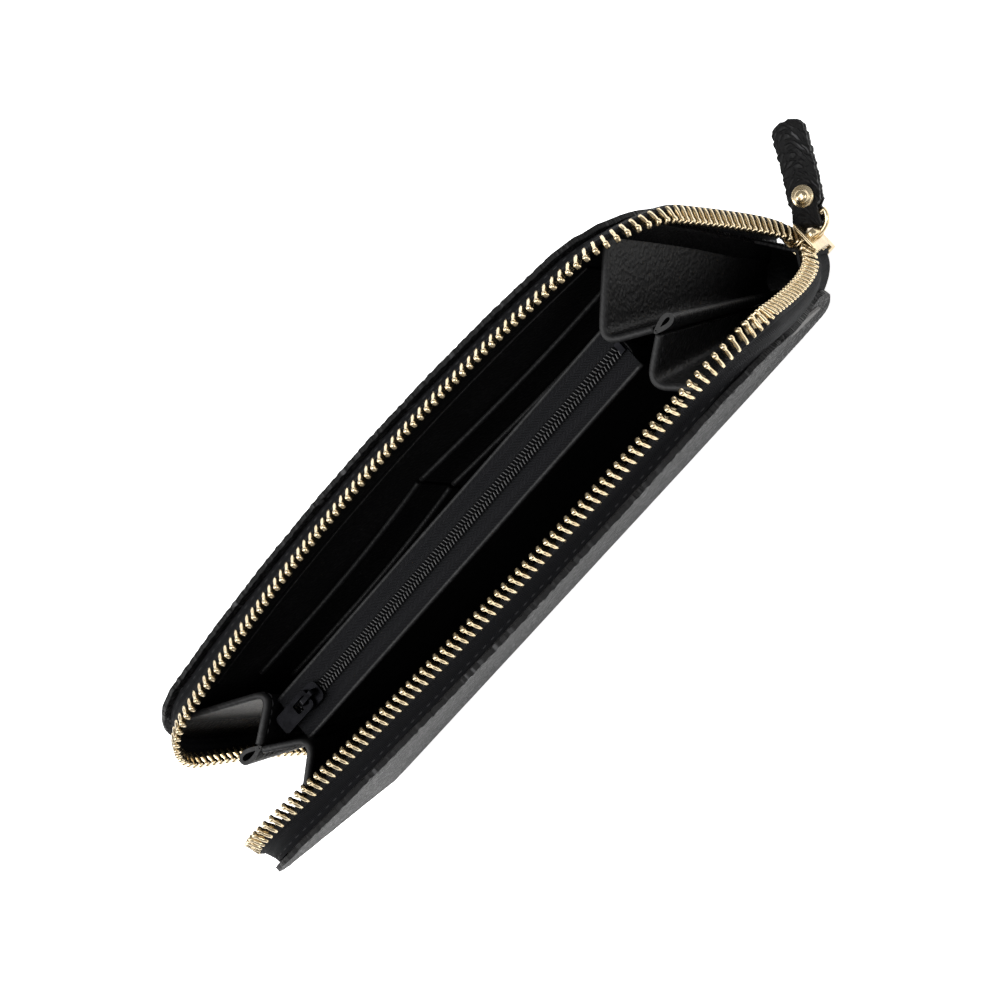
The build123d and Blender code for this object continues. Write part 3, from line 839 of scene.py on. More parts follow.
@dataclass
class Cover:
    """Outer leather and lining of one cover, each turning under the spine."""

    side: Side
    shape: Shape
    leather: float = 1.3
    lining: float = 0.7
    lining_inset: float = 2.41
    lining_margin: float = 2.5
    fold: float = 4.0
    rim_stitch: float = 2.6
    skin_detail: tuple = (170, 96)
    lining_detail: tuple = (90, 60)
    skin_swell: float = 0.12
    lining_swell: float = 0.05
    edge_waves: tuple = (0.14, 0.2)

    def surface(self, inset: float, margin: float, swell: float, detail: tuple) -> Array:
        """Middle surface of a sheet from the spine's centre line to the mouth.

        Along the spine it lies level at its inset, it turns on a quadratic curve, and it climbs
        the cover's lean to the outline.

        Args:
            inset: depth below the outer face.
            margin: how far the sheet stays inside the outline.
            swell: height of the soft waves in it.
            detail: columns along the mouth, and rows.

        Returns:
            Rows from the spine to the mouth, by columns along the wallet.
        """
        x = self.shape.columns(margin, detail[0], 16)
        reach = self.shape.spine / 2 - self.fold
        turn_length = 1.6 * self.fold
        bent = self.fold + inset
        top, foot = self.shape.outline(x, margin), self.shape.foot(x, margin)
        past = np.clip((x - (self.shape.reach[1] - self.shape.cut + 1.0)) / 2.5, 0, 1)
        start = past * (reach + turn_length * np.clip(foot / self.fold, 0, 1))
        start = start + np.maximum(foot - bent, 0)
        whole = reach + turn_length + top - bent
        run = start + (whole - start) * np.linspace(0, 1, detail[1])[:, None]
        t = np.clip((run - reach) / turn_length, 0, 1)
        level = bent + np.maximum(run - reach - turn_length, 0)
        side_y = np.abs(self.shape.cover_y(self.side, x, level, inset))
        foot_y = np.abs(self.shape.cover_y(self.side, x, inset, inset))
        y = (1 - t) ** 2 * np.minimum(run, reach) + 2 * t * (1 - t) * foot_y + t**2 * side_y
        z = (1 - t**2) * inset + t**2 * level
        high = np.clip(z / 30, 0, 1)
        y = y + swell * ripple(x[None], z, self.side.value + inset) * high
        y = y + swell * 0.7 * ragged(x[None] * 0.6, z * 0.35) * ragged(z * 0.55, x[None] * 0.2) * high
        wide = np.broadcast_to(x[None], y.shape)
        return np.stack([wide, y * self.side.value, z], -1)

    def make(self, shop: Workshop) -> None:
        """Builds, dresses and sews the cover."""
        name = self.side.name.lower()
        hold = fold_hold(self.side)
        skin = self.surface(self.leather / 2, 0.0, self.skin_swell, self.skin_detail)
        edge_wave = ragged(skin[..., 0] * 0.8 + skin[..., 2] * 0.7, self.side.value)
        rim = np.zeros(len(skin))[:, None]
        rim[-4:, 0] = (0.2, 0.5, 0.8, 1.0)
        sideways, upwards = self.edge_waves
        skin[..., 2] += upwards * edge_wave * rim
        skin[..., 1] += sideways * self.side.value * np.roll(edge_wave, 3, axis=1) * rim
        nodes = (f"{name}_cover_leather",) + (("spine_leather",) if self.side is Side.BACK else ())
        shop.dress(sheet(f"{name}_outer_leather", skin, self.leather, 0.45), Finish.OUTER, hold, nodes)
        inner = self.surface(self.lining_inset, self.lining_margin, self.lining_swell, self.lining_detail)
        nodes = (f"{name}_cover_lining",) + (("spine_lining",) if self.side is Side.BACK else ())
        shop.dress(sheet(f"{name}_inner_leather", inner, self.lining, 0.2), Finish.INNER, hold, nodes)
        inside = self.rim_stitch
        ends = (self.shape.reach[0] - inside, self.shape.reach[1] - inside)
        run = self.shape.run(ends, self.shape.top - inside, self.shape.corner - inside, 6.0)
        run = run[run[:, 1] > self.shape.foot(run[:, 0], inside)]
        y = self.shape.cover_y(self.side, run[:, 0], run[:, 1], 0.0)
        path = np.stack([run[:, 0], y, run[:, 1]], -1)
        up = np.array([0.0, self.side.value, -0.15])
        shop.stitch(f"{name}_rim_stitches", path, up, hold, Stitching(3.0, 2.2, 0.36, 0.06))


# ---------------------------------------------------------------- main zip


@dataclass
class ZipSide:
    """Tape and teeth of one side of the main zip, in one run from end to end."""

    side: Side
    shape: Shape
    tape: float = 0.55
    pitch: float = 2.5
    root: float = 1.0
    cord_back: float = 0.9
    bend_back: float = 2.15
    hollow: float = 0.45
    straight: float = 3.2

    def axes(self, row: Array, edge: Array) -> tuple[Array, Array, Array]:
        """Directions along the row, across the tape towards the teeth, and out of the tape."""
        along = unit(np.gradient(row, axis=0))
        across = row - edge
        across = unit(across - along * np.einsum("ij,ij->i", across, along)[:, None])
        return along, across, np.cross(along, across)

    def make_tape(self, shop: Workshop) -> None:
        """Tape: a quadratic curve from the sewn edge to the teeth, in line with them at its end."""
        row, guide, edge = self.shape.zip_run(self.side)
        _, across, out = self.axes(row, guide)
        root = row - across * self.root
        bend = row - across * (self.bend_back + self.straight)
        share = np.linspace(0, 1, 13)[:, None, None]
        dip = 4 * share * (1 - share) * self.hollow * self.side.value
        points = edge * (1 - share) ** 2 + 2 * share * (1 - share) * bend + root * share**2
        points = points + out[None] * dip
        name = self.side.name.lower()
        nodes = tuple(f"{name}_zip_tape_{part}" for part in ("mouth", "left", "right"))
        piece = sheet(f"{name}_zip_tape", points, self.tape, 0.15)
        shop.dress(piece, Finish.TAPE, rows_hold(self.side), nodes)
        cord = root - across * self.cord_back
        corners, faces = carried(cord, out, oval(1.7, 1.25, 8))
        shop.dress(build(f"{name}_zip_cord", corners, faces), Finish.TAPE, rows_hold(self.side))
        sewn = points[2] + (points[3] - points[2]) * 0.2 - out * self.side.value * self.tape / 2
        up = -out * self.side.value
        style = Stitching(3.0, 2.3, 0.3, 0.05)
        shop.stitch(f"{name}_tape_stitches", sewn, up, rows_hold(self.side), style)

    def tooth(self) -> tuple[Array, Array]:
        """One tooth along X: legs that grip the cord, a waist, and a wider head with a nib."""
        stations = np.array(
            [
                (-2.12, 0.86, 1.7),
                (-2.0, 1.02, 2.0),
                (-0.9, 1.00, 2.1),
                (0.2, 0.88, 1.9),
                (0.8, 0.84, 1.7),
                (1.15, 1.24, 1.8),
                (1.65, 1.30, 1.8),
                (2.0, 0.86, 1.35),
            ]
        )
        return lofted(stations, 8, 3.4)

    def make_teeth(self, shop: Workshop) -> None:
        """Teeth at one pitch, counted from the right foot so that the two rows mesh there."""
        row, guide, _ = self.shape.zip_run(self.side)
        row, guide = row[::-1], guide[::-1]
        first = self.pitch * (0.5 if self.side is Side.BACK else 1.0)
        length = running(row)
        distances = np.arange(first, length[-1] - self.pitch / 2, self.pitch)
        _, across, _ = self.axes(row, guide)
        origins = along_path(row, distances)
        lifts = np.stack([np.interp(distances, length, across[:, k]) for k in range(3)], -1)
        along = unit(along_path(row, distances + 0.1) - along_path(row, distances - 0.1))
        reach = unit(lifts - along * np.einsum("ij,ij->i", lifts, along)[:, None])
        axes = np.stack([reach, np.cross(along, reach), along], 1)
        points, faces = scattered(self.tooth(), origins, axes)
        name = self.side.name.lower()
        nodes = tuple(f"{name}_zip_teeth_{part}" for part in ("mouth", "left", "right"))
        piece = build(f"{name}_zip_teeth", points, outward(points, faces))
        shop.dress(piece, Finish.GOLD, rows_hold(self.side), nodes)

    def make(self, shop: Workshop) -> None:
        """Builds tape and teeth."""
        self.make_tape(shop)
        self.make_teeth(shop)


@dataclass
class SpineTongue:
    """Leather that carries the spine up round the cut corner to the foot of the zip."""

    shape: Shape
    thickness: float = 1.0
    sweep: float = 97.0
    inset: float = 2.4
    keel: float = 6.4

    def make(self, shop: Workshop) -> None:
        """Builds the tongue: a quarter circle in side view, drawn out to a keel at the closed zip.

        Across, it reaches from cover to cover; its radius grows towards the middle and the end.
        """
        turn = np.radians(np.linspace(0, self.sweep, 30))[:, None]
        share = np.linspace(-1, 1, 27)[None]
        edge = self.shape.cut - self.inset
        radius = edge + self.keel * (1 - np.abs(share)) * np.sin(turn) ** 2
        centre = self.shape.reach[1] - self.shape.cut
        x = centre + radius * np.sin(turn)
        z = np.maximum(self.shape.cut - radius * np.cos(turn), self.inset)
        rim_x = centre + edge * np.sin(turn)
        back = self.shape.cover_y(Side.BACK, rim_x, z, self.inset)
        front = self.shape.cover_y(Side.FRONT, rim_x, z, self.inset)
        y = (back + front) / 2 + (back - front) / 2 * share
        points = np.stack(np.broadcast_arrays(x, y, z), -1)
        piece = sheet("spine_tongue", points, self.thickness, 0.3)
        shop.dress(piece, Finish.INNER, Hold("spine"))
        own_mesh(piece)


# ---------------------------------------------------------------- pockets


@dataclass
class CardSide:
    """Backing panel and three card slots in two columns, on the back cover."""

    shape: Shape
    panel_inset: float = 3.19
    panel: float = 0.7
    panel_ends: tuple = (-74.0, 71.0)
    panel_height: tuple = (6.0, 76.0)
    tops: tuple = (64.5, 53.5, 42.5)
    names: tuple = ("upper", "middle", "lower")
    columns: tuple = ((-70.0, -2.2), (-1.2, 66.5))
    bottom: float = 8.0
    first_inset: float = 3.97
    step: float = 0.78
    lip: float = 1.5
    sag: float = 2.2

    def plane(self, x: Array, z: Array, inset: float) -> Array:
        """Points of the back cover's plane at an inset."""
        y = self.shape.cover_y(Side.BACK, x, z, inset)
        return np.stack(np.broadcast_arrays(x, y, z), -1)

    def make(self, shop: Workshop) -> None:
        """Builds the panel, the slots, their turned lips and their stitches."""
        hold = Hold(cover_name(Side.BACK))
        x = np.linspace(*self.panel_ends, 60)[None]
        z = np.linspace(*self.panel_height, 24)[:, None]
        panel = sheet("card_backing", self.plane(x, z, self.panel_inset), self.panel, 0.25)
        shop.dress(panel, Finish.INNER, hold, ("card_panel",))
        for index, (name, top) in enumerate(zip(self.names, self.tops)):
            inset = self.first_inset + index * self.step
            for number, (left, right) in enumerate(self.columns):
                x = np.linspace(left, right, 48)
                share = (x - left) / (right - left)
                edge = top - self.sag * np.sin(np.pi * share) ** 0.8 * (0.6 + 0.4 * share)
                rows = np.linspace(0, 1, 16)[:, None]
                z = self.bottom + (edge[None] - self.bottom) * rows
                gape = 0.5 * rows**4 * np.sin(np.pi * share)[None]
                points = self.plane(x[None], z, inset)
                points[..., 1] -= gape
                piece = sheet(f"card_slot_{name}_{number}", points, 0.62, 0.2)
                nodes = (f"card_slots_{name}",) if number == 0 else ()
                shop.dress(piece, Finish.INNER, hold, nodes)
                rim = points[-1] + np.array([0, -0.12, -self.lip / 2])
                corners, faces = carried(rim, np.array([0, -1.0, 0]), oval(self.lip + 0.3, 1.15, 10, 2.6))
                lip = build(f"card_lip_{name}_{number}", corners, faces)
                shop.dress(lip, Finish.EDGE, hold)
                sewn = points[-1] + np.array([0, -0.36, -self.lip - 0.9])
                up = np.array([0, -1.0, 0])
                shop.stitch(f"card_stitches_{name}_{number}", sewn, up, hold, LIP_STITCHES)


@dataclass
class SlipSide:
    """Slip pocket on the front cover."""

    shape: Shape
    inset: float = 3.19
    thickness: float = 0.7
    ends: tuple = (-74.0, 71.0)
    bottom: float = 6.0
    top: float = 68.0

    def make(self, shop: Workshop) -> None:
        """Builds the pocket's sheet with a sagging turned lip."""
        hold = Hold(cover_name(Side.FRONT))
        x = np.linspace(*self.ends, 80)
        share = (x - self.ends[0]) / (self.ends[1] - self.ends[0])
        edge = self.top - 1.6 * np.sin(np.pi * share)
        rows = np.linspace(0, 1, 22)[:, None]
        z = self.bottom + (edge[None] - self.bottom) * rows
        y = self.shape.cover_y(Side.FRONT, x[None], z, self.inset) + 0.9 * rows**3 * np.sin(np.pi * share)
        points = np.stack(np.broadcast_arrays(x[None], y, z), -1)
        piece = sheet("slip_pocket_sheet", points, self.thickness, 0.25)
        shop.dress(piece, Finish.INNER, hold, ("slip_pocket",))
        rim = points[-1] + np.array([0, 0.1, -0.8])
        corners, faces = carried(rim, np.array([0, 1.0, 0]), oval(1.8, 1.2, 10, 2.6))
        shop.dress(build("slip_pocket_lip", corners, faces), Finish.EDGE, hold)
        sewn = points[-1] + np.array([0, 0.38, -2.5])
        shop.stitch("slip_pocket_stitches", sewn, np.array([0, 1.0, 0]), hold, LIP_STITCHES)


@dataclass
class CoinPocket:
    """Middle pocket: a flat leather sleeve with a coil zip lying along its top."""

    left: float = -63.0
    right: float = 65.5
    bottom: float = 4.0
    top: float = 76.0
    foot: float = 1.7
    mouth: float = 5.4
    wall: float = 0.8
    band_level: float = 76.36
    band_half: float = 6.2
    band_gap: float = 0.25
    binding_level: float = 76.2
    sewn_line: tuple = (4.6, 76.68)
    end_turn: float = 3.0
    link_pitch: float = 1.0
    tape: float = 0.55
    coil_level: float = 77.18

    def sleeve(self) -> Array:
        """Closed plan at each height: long sides joined by half turns, wider towards the top."""
        z = np.linspace(self.bottom, self.top, 26)
        rise = (z - self.bottom) / (self.top - self.bottom)
        half = self.foot + (self.mouth - self.foot) * rise
        side = np.linspace(-1, 1, 70)
        turn = np.linspace(0, np.pi, 12)[1:-1]
        middle, reach = (self.left + self.right) / 2, (self.right - self.left) / 2
        flat = reach - self.end_turn
        x = np.concatenate([middle + flat * side, middle + flat + self.end_turn * np.sin(turn)])
        y = np.concatenate([np.full_like(side, -1.0), -np.cos(turn)])
        x = np.concatenate([x, 2 * middle - x])
        y = np.concatenate([y, -y])
        wave = 0.35 * np.sin((x[None] - self.left) * 0.07) * rise[:, None]
        y = y[None] * half[:, None] + wave * np.abs(y[None])
        return np.stack(np.broadcast_arrays(x[None], y, z[:, None]), -1)

    def line(self, x: Array, y: float, z: float) -> Array:
        """Points at each x, at one y and one z."""
        return np.stack([x, np.full_like(x, y), np.full_like(x, z)], -1)

    def make(self, shop: Workshop) -> None:
        """Builds the sleeve, the zip bands with their bindings and stitches, and the coil."""
        hold = Hold("spine")
        piece = sheet("coin_pocket_sleeve", self.sleeve(), self.wall, 0.25, True)
        nodes = ("coin_pocket_back_wall", "coin_pocket_front_wall")
        shop.dress(piece, Finish.INNER, hold, nodes)
        x = np.linspace(self.left, self.right, 120)
        for side in Side:
            across = np.linspace(self.band_gap, self.band_half, 8)[:, None]
            y = side.value * np.broadcast_to(across, (8, 120))
            bump = 0.12 * np.sin((across - self.band_gap) / (self.band_half - self.band_gap) * np.pi)
            z = np.full_like(y, self.band_level) + bump
            points = np.stack([np.broadcast_to(x[None], y.shape), y, z], -1)
            name = side.name.lower()
            band = sheet(f"coin_band_{name}", points, self.tape, 0.12)
            shop.dress(band, Finish.TAPE, hold, (f"coin_zip_{name}_tape",))
            rim = self.line(x, side.value * (self.band_half - 0.2), self.binding_level)
            corners, faces = carried(rim, np.array([0, 0, 1.0]), oval(1.1, 1.5, 10, 2.4))
            shop.dress(build(f"coin_binding_{name}", corners, faces), Finish.EDGE, hold)
            sewn = self.line(x, side.value * self.sewn_line[0], self.sewn_line[1])
            style = Stitching(2.2, 1.6, 0.32)
            shop.stitch(f"coin_stitches_{name}", sewn, np.array([0, 0, 1.0]), hold, style)
        self.make_coil(shop, hold)

    def make_coil(self, shop: Workshop, hold: Hold) -> None:
        """Coil links: ovals that slant across each side in turn and hook into each other."""
        places = np.arange(self.left + 2.2, self.right - 2.0, self.link_pitch)
        share = np.linspace(-1, 1, 6)
        thick = np.array([0.35, 0.52, 0.5, 0.5, 0.62, 0.4])
        link = lofted(np.stack([share * 0.85, thick, thick * 1.5], -1), 6, 2.0)
        parts = []
        for side in Side:
            shift = 0.0 if side is Side.BACK else self.link_pitch / 2
            origins = self.line(places + shift, side.value * 0.75, self.coil_level)
            reach = unit(np.array([0.28, -side.value, 0.0]))
            up = np.array([0, 0, 1.0])
            axes = np.stack([reach, up, np.cross(reach, up)])
            parts.append(scattered(link, origins, np.broadcast_to(axes, (len(places), 3, 3))))
        points = np.concatenate([part[0] for part in parts])
        shift = len(parts[0][0])
        faces = np.concatenate([outward(*parts[0]), outward(*parts[1]) + shift])
        piece = build("coin_coil", points, faces)
        shop.dress(piece, Finish.COIL, hold, ("coin_zip_coil",))


# ---------------------------------------------------------------- gussets


def folded_path(corners: Array, cut: float, straight: int, bend: int) -> Array:
    """Plan of a folded sheet at many heights, with its folds rounded.

    Straight legs run between the corners, and each fold is a quadratic curve that starts and
    ends a cut before and after its corner.

    Args:
        corners: heights by corners by x and y.
        cut: length of leg that the curve takes.
        straight: points on each leg.
        bend: points on each fold.

    Returns:
        Heights by points by x and y.
    """
    rows = []
    last = corners[:, 0]
    count = corners.shape[1]
    for index in range(1, count):
        here = corners[:, index]
        back = corners[:, index - 1] - here
        take = np.minimum(cut, np.linalg.norm(back, axis=-1, keepdims=True) * 0.45)
        stop = here if index == count - 1 else here + unit(back) * take
        share = np.linspace(0, 1, straight)[:, None, None]
        rows.append(last[None] * (1 - share) + stop[None] * share)
        if index < count - 1:
            ahead = corners[:, index + 1] - here
            take = np.minimum(cut, np.linalg.norm(ahead, axis=-1, keepdims=True) * 0.45)
            leave = here + unit(ahead) * take
            turn = np.linspace(0, 1, bend + 2)[1:-1, None, None]
            rows.append((1 - turn) ** 2 * stop + 2 * turn * (1 - turn) * here + turn**2 * leave)
            last = leave
    return np.concatenate(rows).transpose(1, 0, 2)


@dataclass
class Gusset:
    """Folded end wall: two halves that meet at the pocket's end, and the seam's standing loop."""

    end: End
    shape: Shape
    back: tuple
    front: tuple
    loop: tuple
    thickness: float = 1.2
    top: float = 82.0
    bottom: float = 4.0
    foot: float = 0.34
    attach_inset: float = 3.6
    hem: float = 1.7
    loop_foot: float = 0.35
    loop_width: float = 0.26
    fold_cut: float = 4.4
    bulge: float = 0.5

    def depth(self, z: Array) -> Array:
        """Share of the folds' full depth at each height: 1 at the top, least at the bottom."""
        return 1 - (1 - self.foot) * (self.top - z) / (self.top - self.bottom)

    def plan(self, side: Side, z: Array) -> Array:
        """Corners of a half at each height; the folds get shallower towards the spine."""
        attach_x, fold, seam = self.back if side is Side.BACK else self.front
        depth = self.depth(z)
        attach_y = self.shape.cover_y(side, np.full_like(z, attach_x), z, self.attach_inset)
        top_y = self.shape.cover_y(side, np.array([attach_x]), np.array([self.top]), self.attach_inset)
        narrow = np.maximum(attach_y / top_y, 0.4)
        rows = [np.stack([np.full_like(z, attach_x), attach_y], -1)]
        for x, y in (fold, seam):
            rows.append(np.stack([attach_x + (x - attach_x) * depth, y * narrow], -1))
        return np.stack(rows, 1)

    def half(self, side: Side) -> Array:
        """Middle surface of a half, rows by height and columns along the plan."""
        z = np.linspace(self.bottom, self.top, 36)
        path = folded_path(self.plan(side, z), self.fold_cut, 18, 11)
        rise = (z - Gusset.bottom) / (Gusset.top - Gusset.bottom)
        bulge = self.bulge * np.sin(np.linspace(0, np.pi, path.shape[1]))[None] * rise[:, None]
        height = np.broadcast_to(z[:, None], path.shape[:2])
        return np.stack([path[..., 0] - bulge * self.end.value, path[..., 1], height], -1)

    def make(self, shop: Workshop) -> None:
        """Builds both halves with turned top edges, the loop and the stitches."""
        end = self.end.name.lower()
        for side in Side:
            name = side.name.lower()
            low, high = (0, side.value * 1.0, 0), (0, side.value * 17.0, 0)
            hold = Hold("spine", cover_name(side), low, high)
            points = self.half(side)
            piece = sheet(f"{end}_gusset_{name}_leaf", points, self.thickness, 0.35)
            shop.dress(piece, Finish.INNER, hold, (f"{end}_gusset_{name}",))
            edge = points[-1].copy()
            edge[:, 2] -= self.hem / 2
            corners, faces = carried(edge, np.array([0, 0, 1.0]), oval(1.75, self.hem + 0.5, 10, 2.6))
            shop.dress(build(f"{end}_gusset_{name}_hem", corners, faces), Finish.EDGE, hold)
            sewn = self.offset(points[-1], -self.end.value)
            sewn[:, 2] -= self.hem + 0.9
            facing = unit((sewn - points[-1]) * np.array([1.0, 1.0, 0.0]))
            shop.stitch(f"{end}_gusset_{name}_stitches", sewn, facing, hold, LIP_STITCHES)
        self.make_loop(shop)

    def normal(self, path: Array) -> Array:
        """Level direction square to a path."""
        along = unit(np.gradient(path, axis=0))
        return np.stack([-along[:, 1], along[:, 0], np.zeros(len(path))], -1)

    def offset(self, path: Array, way: float) -> Array:
        """The path moved square to itself by just over half the sheet."""
        return path + self.normal(path) * way * (self.thickness / 2 + 0.05)

    def make_loop(self, shop: Workshop) -> None:
        """Standing loop where the halves are sewn: a teardrop plan, smaller towards the spine."""
        z = np.linspace(self.bottom, self.top, 30)
        depth = self.depth(z)
        attach = (self.back[0] + self.front[0]) / 2
        seam = np.array([(self.back[2][0] + self.front[2][0]) / 2, (self.back[2][1] + self.front[2][1]) / 2])
        tip = np.array(self.loop)
        turn = np.linspace(-np.pi, np.pi, 25)[:-1]
        reach = (1 + np.cos(turn)) / 2
        along, wide = tip - seam, np.array([-(tip - seam)[1], (tip - seam)[0]])
        plan = seam + reach[:, None] * along + (np.sin(turn) * reach**0.7)[:, None] * wide * self.loop_width
        x = attach + (plan[None, :, 0] - attach) * depth[:, None]
        share = (z - self.bottom) / (self.top - self.bottom)
        y = plan[None, :, 1] * (self.loop_foot + (1 - self.loop_foot) * share)[:, None]
        points = np.stack([x, y, np.broadcast_to(z[:, None], x.shape)], -1)
        name = f"{self.end.name.lower()}_gusset_loop"
        shop.dress(sheet(name, points, 1.0, 0.3, True), Finish.INNER, Hold("spine"))


# ---------------------------------------------------------------- pull


@dataclass
class LeatherTab:
    """Leather tab folded round the ring's bar, its two plies riveted together."""

    bar: tuple = (98.4, 3.5, 21.7)
    angle: float = 52.0
    swing: float = 14.0
    length: float = 23.0
    ply: float = 1.1
    fold: float = 1.0
    neck: float = 6.4
    width: float = 8.3
    shoulder: float = 2.6
    corner: float = 3.0
    stud_at: float = 5.3
    closing: float = 4.5
    seam_gap: float = 0.04
    rough_edge: float = 0.3
    arch: float = 0.4
    crown: float = 0.25
    stud_lift: float = 0.35
    stud_sides: int = 28

    def make(self, shop: Workshop) -> None:
        """Builds the tab.

        The strip runs from the lower tip to the bar, half round it, and back over itself. In plan
        its middle line turns by the swing, with the square of the distance from the bar.
        """
        radius = self.fold + self.ply / 2
        layer = self.ply / 2 + self.seam_gap
        out = np.linspace(self.length, radius, 46)
        tilt = np.linspace(-np.pi / 2, -3 * np.pi / 2, 17)[1:-1]
        ease = np.clip((out - radius) / self.closing, 0, 1)
        drop = radius + (layer - radius) * ease * ease * (3 - 2 * ease)
        reach = np.concatenate([out, radius * np.cos(tilt), out[::-1]])
        level = np.concatenate([-drop, radius * np.sin(tilt), drop[::-1]])
        s = np.clip(reach, 0, None)
        grow = np.clip((s - self.shoulder) / (self.width / 4), 0, 1)
        half = (self.neck + (self.width - self.neck) * grow * grow * (3 - 2 * grow)) / 2
        past = np.clip(s - (self.length - self.corner), 0, self.corner)
        half = half - (self.corner - np.sqrt(np.maximum(self.corner**2 - past**2, 0)))
        half = half + self.rough_edge * ragged(s, 0.4)
        share = np.linspace(-1, 1, 17)[None]
        azimuth = np.radians(self.angle)
        bend = np.radians(self.swing)
        lateral = bend * s**2 / self.length / 2
        heading = azimuth + bend * s / self.length
        base_x = reach * np.cos(azimuth) - lateral * np.sin(azimuth)
        base_y = reach * np.sin(azimuth) + lateral * np.cos(azimuth)
        across = share * half[:, None] * (1 + 0.02 * ragged(s[:, None] * 0.9 + share, 2.0))
        x = self.bar[0] + base_x[:, None] - across * np.sin(heading)[:, None]
        y = self.bar[1] + base_y[:, None] + across * np.cos(heading)[:, None]
        arch = self.arch * np.sin(np.pi * np.clip(s / self.length, 0, 1))[:, None]
        crown = -self.crown * share**2 * np.clip(s / 8, 0, 1)[:, None]
        z = self.bar[2] + level[:, None] + arch + crown + 0.1 * ripple(s[:, None] * 6, share * 20)
        points = np.stack([x, y, z], -1)
        piece = sheet("leather_tab", points, self.ply, 0.25)
        shop.dress(piece, Finish.OUTER, Hold("pull_tab"), ("pull_tab",))
        self.make_stud(shop)

    def make_stud(self, shop: Workshop) -> None:
        """Domed stud: a turned profile of radius and height, closed at its crown and its foot."""
        azimuth = np.radians(self.angle + self.swing * self.stud_at / self.length / 2)
        x = self.bar[0] + self.stud_at * np.cos(azimuth)
        y = self.bar[1] + self.stud_at * np.sin(azimuth)
        profile = np.array(
            [
                (0.02, 3.15), (0.7, 3.08), (1.25, 2.85), (1.65, 2.45), (1.8, 2.05), (1.95, 1.85), (2.5, 1.8),
                (2.75, 1.62), (2.8, 1.4), (2.7, 1.25), (1.0, 1.2), (0.9, -1.2), (2.0, -1.3), (2.2, -1.5),
                (2.0, -1.75), (0.02, -1.85),
            ]
        )
        turn = np.arange(self.stud_sides) * 2 * np.pi / self.stud_sides
        level = self.bar[2] + self.stud_lift + profile[:, 1:]
        across, ahead = profile[:, :1] * np.cos(turn), profile[:, :1] * np.sin(turn)
        points = np.stack(np.broadcast_arrays(x + across, y + ahead, level), -1)
        count, last = self.stud_sides, (len(profile) - 1) * self.stud_sides
        faces = [quads(len(profile), count, True), lid(count, 0)[:, ::-1], lid(count, last)]
        faces = np.concatenate(faces)
        piece = build("tab_stud", points, outward(points, faces))
        shop.dress(piece, Finish.GOLD, Hold("pull_tab"), ("pull_stud",))


@dataclass
class MainSlider:
    """Slider of the main zip: two domed plates, their flanges, the post and the bridge."""

    middle: tuple = (94.0, 0.0, 21.7)
    channel: float = 3.1
    plate: float = 1.0
    rise: float = 2.3
    foot: float = 2.8

    def upright(self, name: str, shop: Workshop, stations: list, places: list) -> None:
        """Copies of a shape that stands along Z, with its width along Y and its depth along X.

        Args:
            name: the piece's name.
            shop: where it is dressed.
            stations: level, width and depth of the shape at each of its stations.
            places: where each copy stands, from the slider's middle.
        """
        upright = np.array([(0.0, 0.0, 1.0), (1.0, 0.0, 0.0), (0.0, 1.0, 0.0)])
        axes = np.broadcast_to(upright, (len(places), 3, 3))
        origins = np.array(self.middle) + np.array(places)
        points, faces = scattered(lofted(np.array(stations), 20, 2.8), origins, axes)
        nodes = ("slider_body", "slider_bridge")
        shop.dress(build(name, points, faces), Finish.GOLD, Hold("slider"), nodes)

    def make(self, shop: Workshop) -> None:
        """Builds the slider's pieces."""
        away = (self.channel + self.plate) / 2
        plate = [
            (-5.5, 2.6, 0.35),
            (-5.2, 4.8, 0.75),
            (-4.3, 6.2, 0.95),
            (0.0, 7.0, 1.0),
            (3.0, 8.3, 1.0),
            (4.4, 8.6, 0.95),
            (5.1, 7.2, 0.75),
            (5.4, 4.4, 0.35),
        ]
        self.upright("slider_plates", shop, plate, [(away, 0, 0), (-away, 0, 0)])
        flange = [(-3.9, 0.3, 0.3), (-3.6, 0.7, 0.8), (2.2, 0.7, 0.8), (2.5, 0.3, 0.3)]
        inner = away - self.plate * 0.7
        places = [(x, y, 0.0) for x in (inner, -inner) for y in (3.0, -3.0)]
        self.upright("slider_flanges", shop, flange, places)
        post = [(3.2, 0.3, 1.4), (3.4, 0.7, 3.4), (4.6, 0.7, 3.4), (4.8, 0.3, 1.4)]
        self.upright("slider_post", shop, post, [(0, 0, 0)])
        turn = np.linspace(0, np.pi, 31)
        base = self.middle[0] + away + self.plate * 0.2
        x = base + self.rise * np.sin(turn) ** 0.6
        path = np.stack([x, 0 * turn, self.middle[2] + self.foot * np.cos(turn)], -1)
        points, faces = carried(path, np.array([0.0, 1.0, 0.0]), oval(0.9, 1.7, 14, 3.0))
        shop.dress(build("slider_arch", points, faces), Finish.GOLD, Hold("slider"))


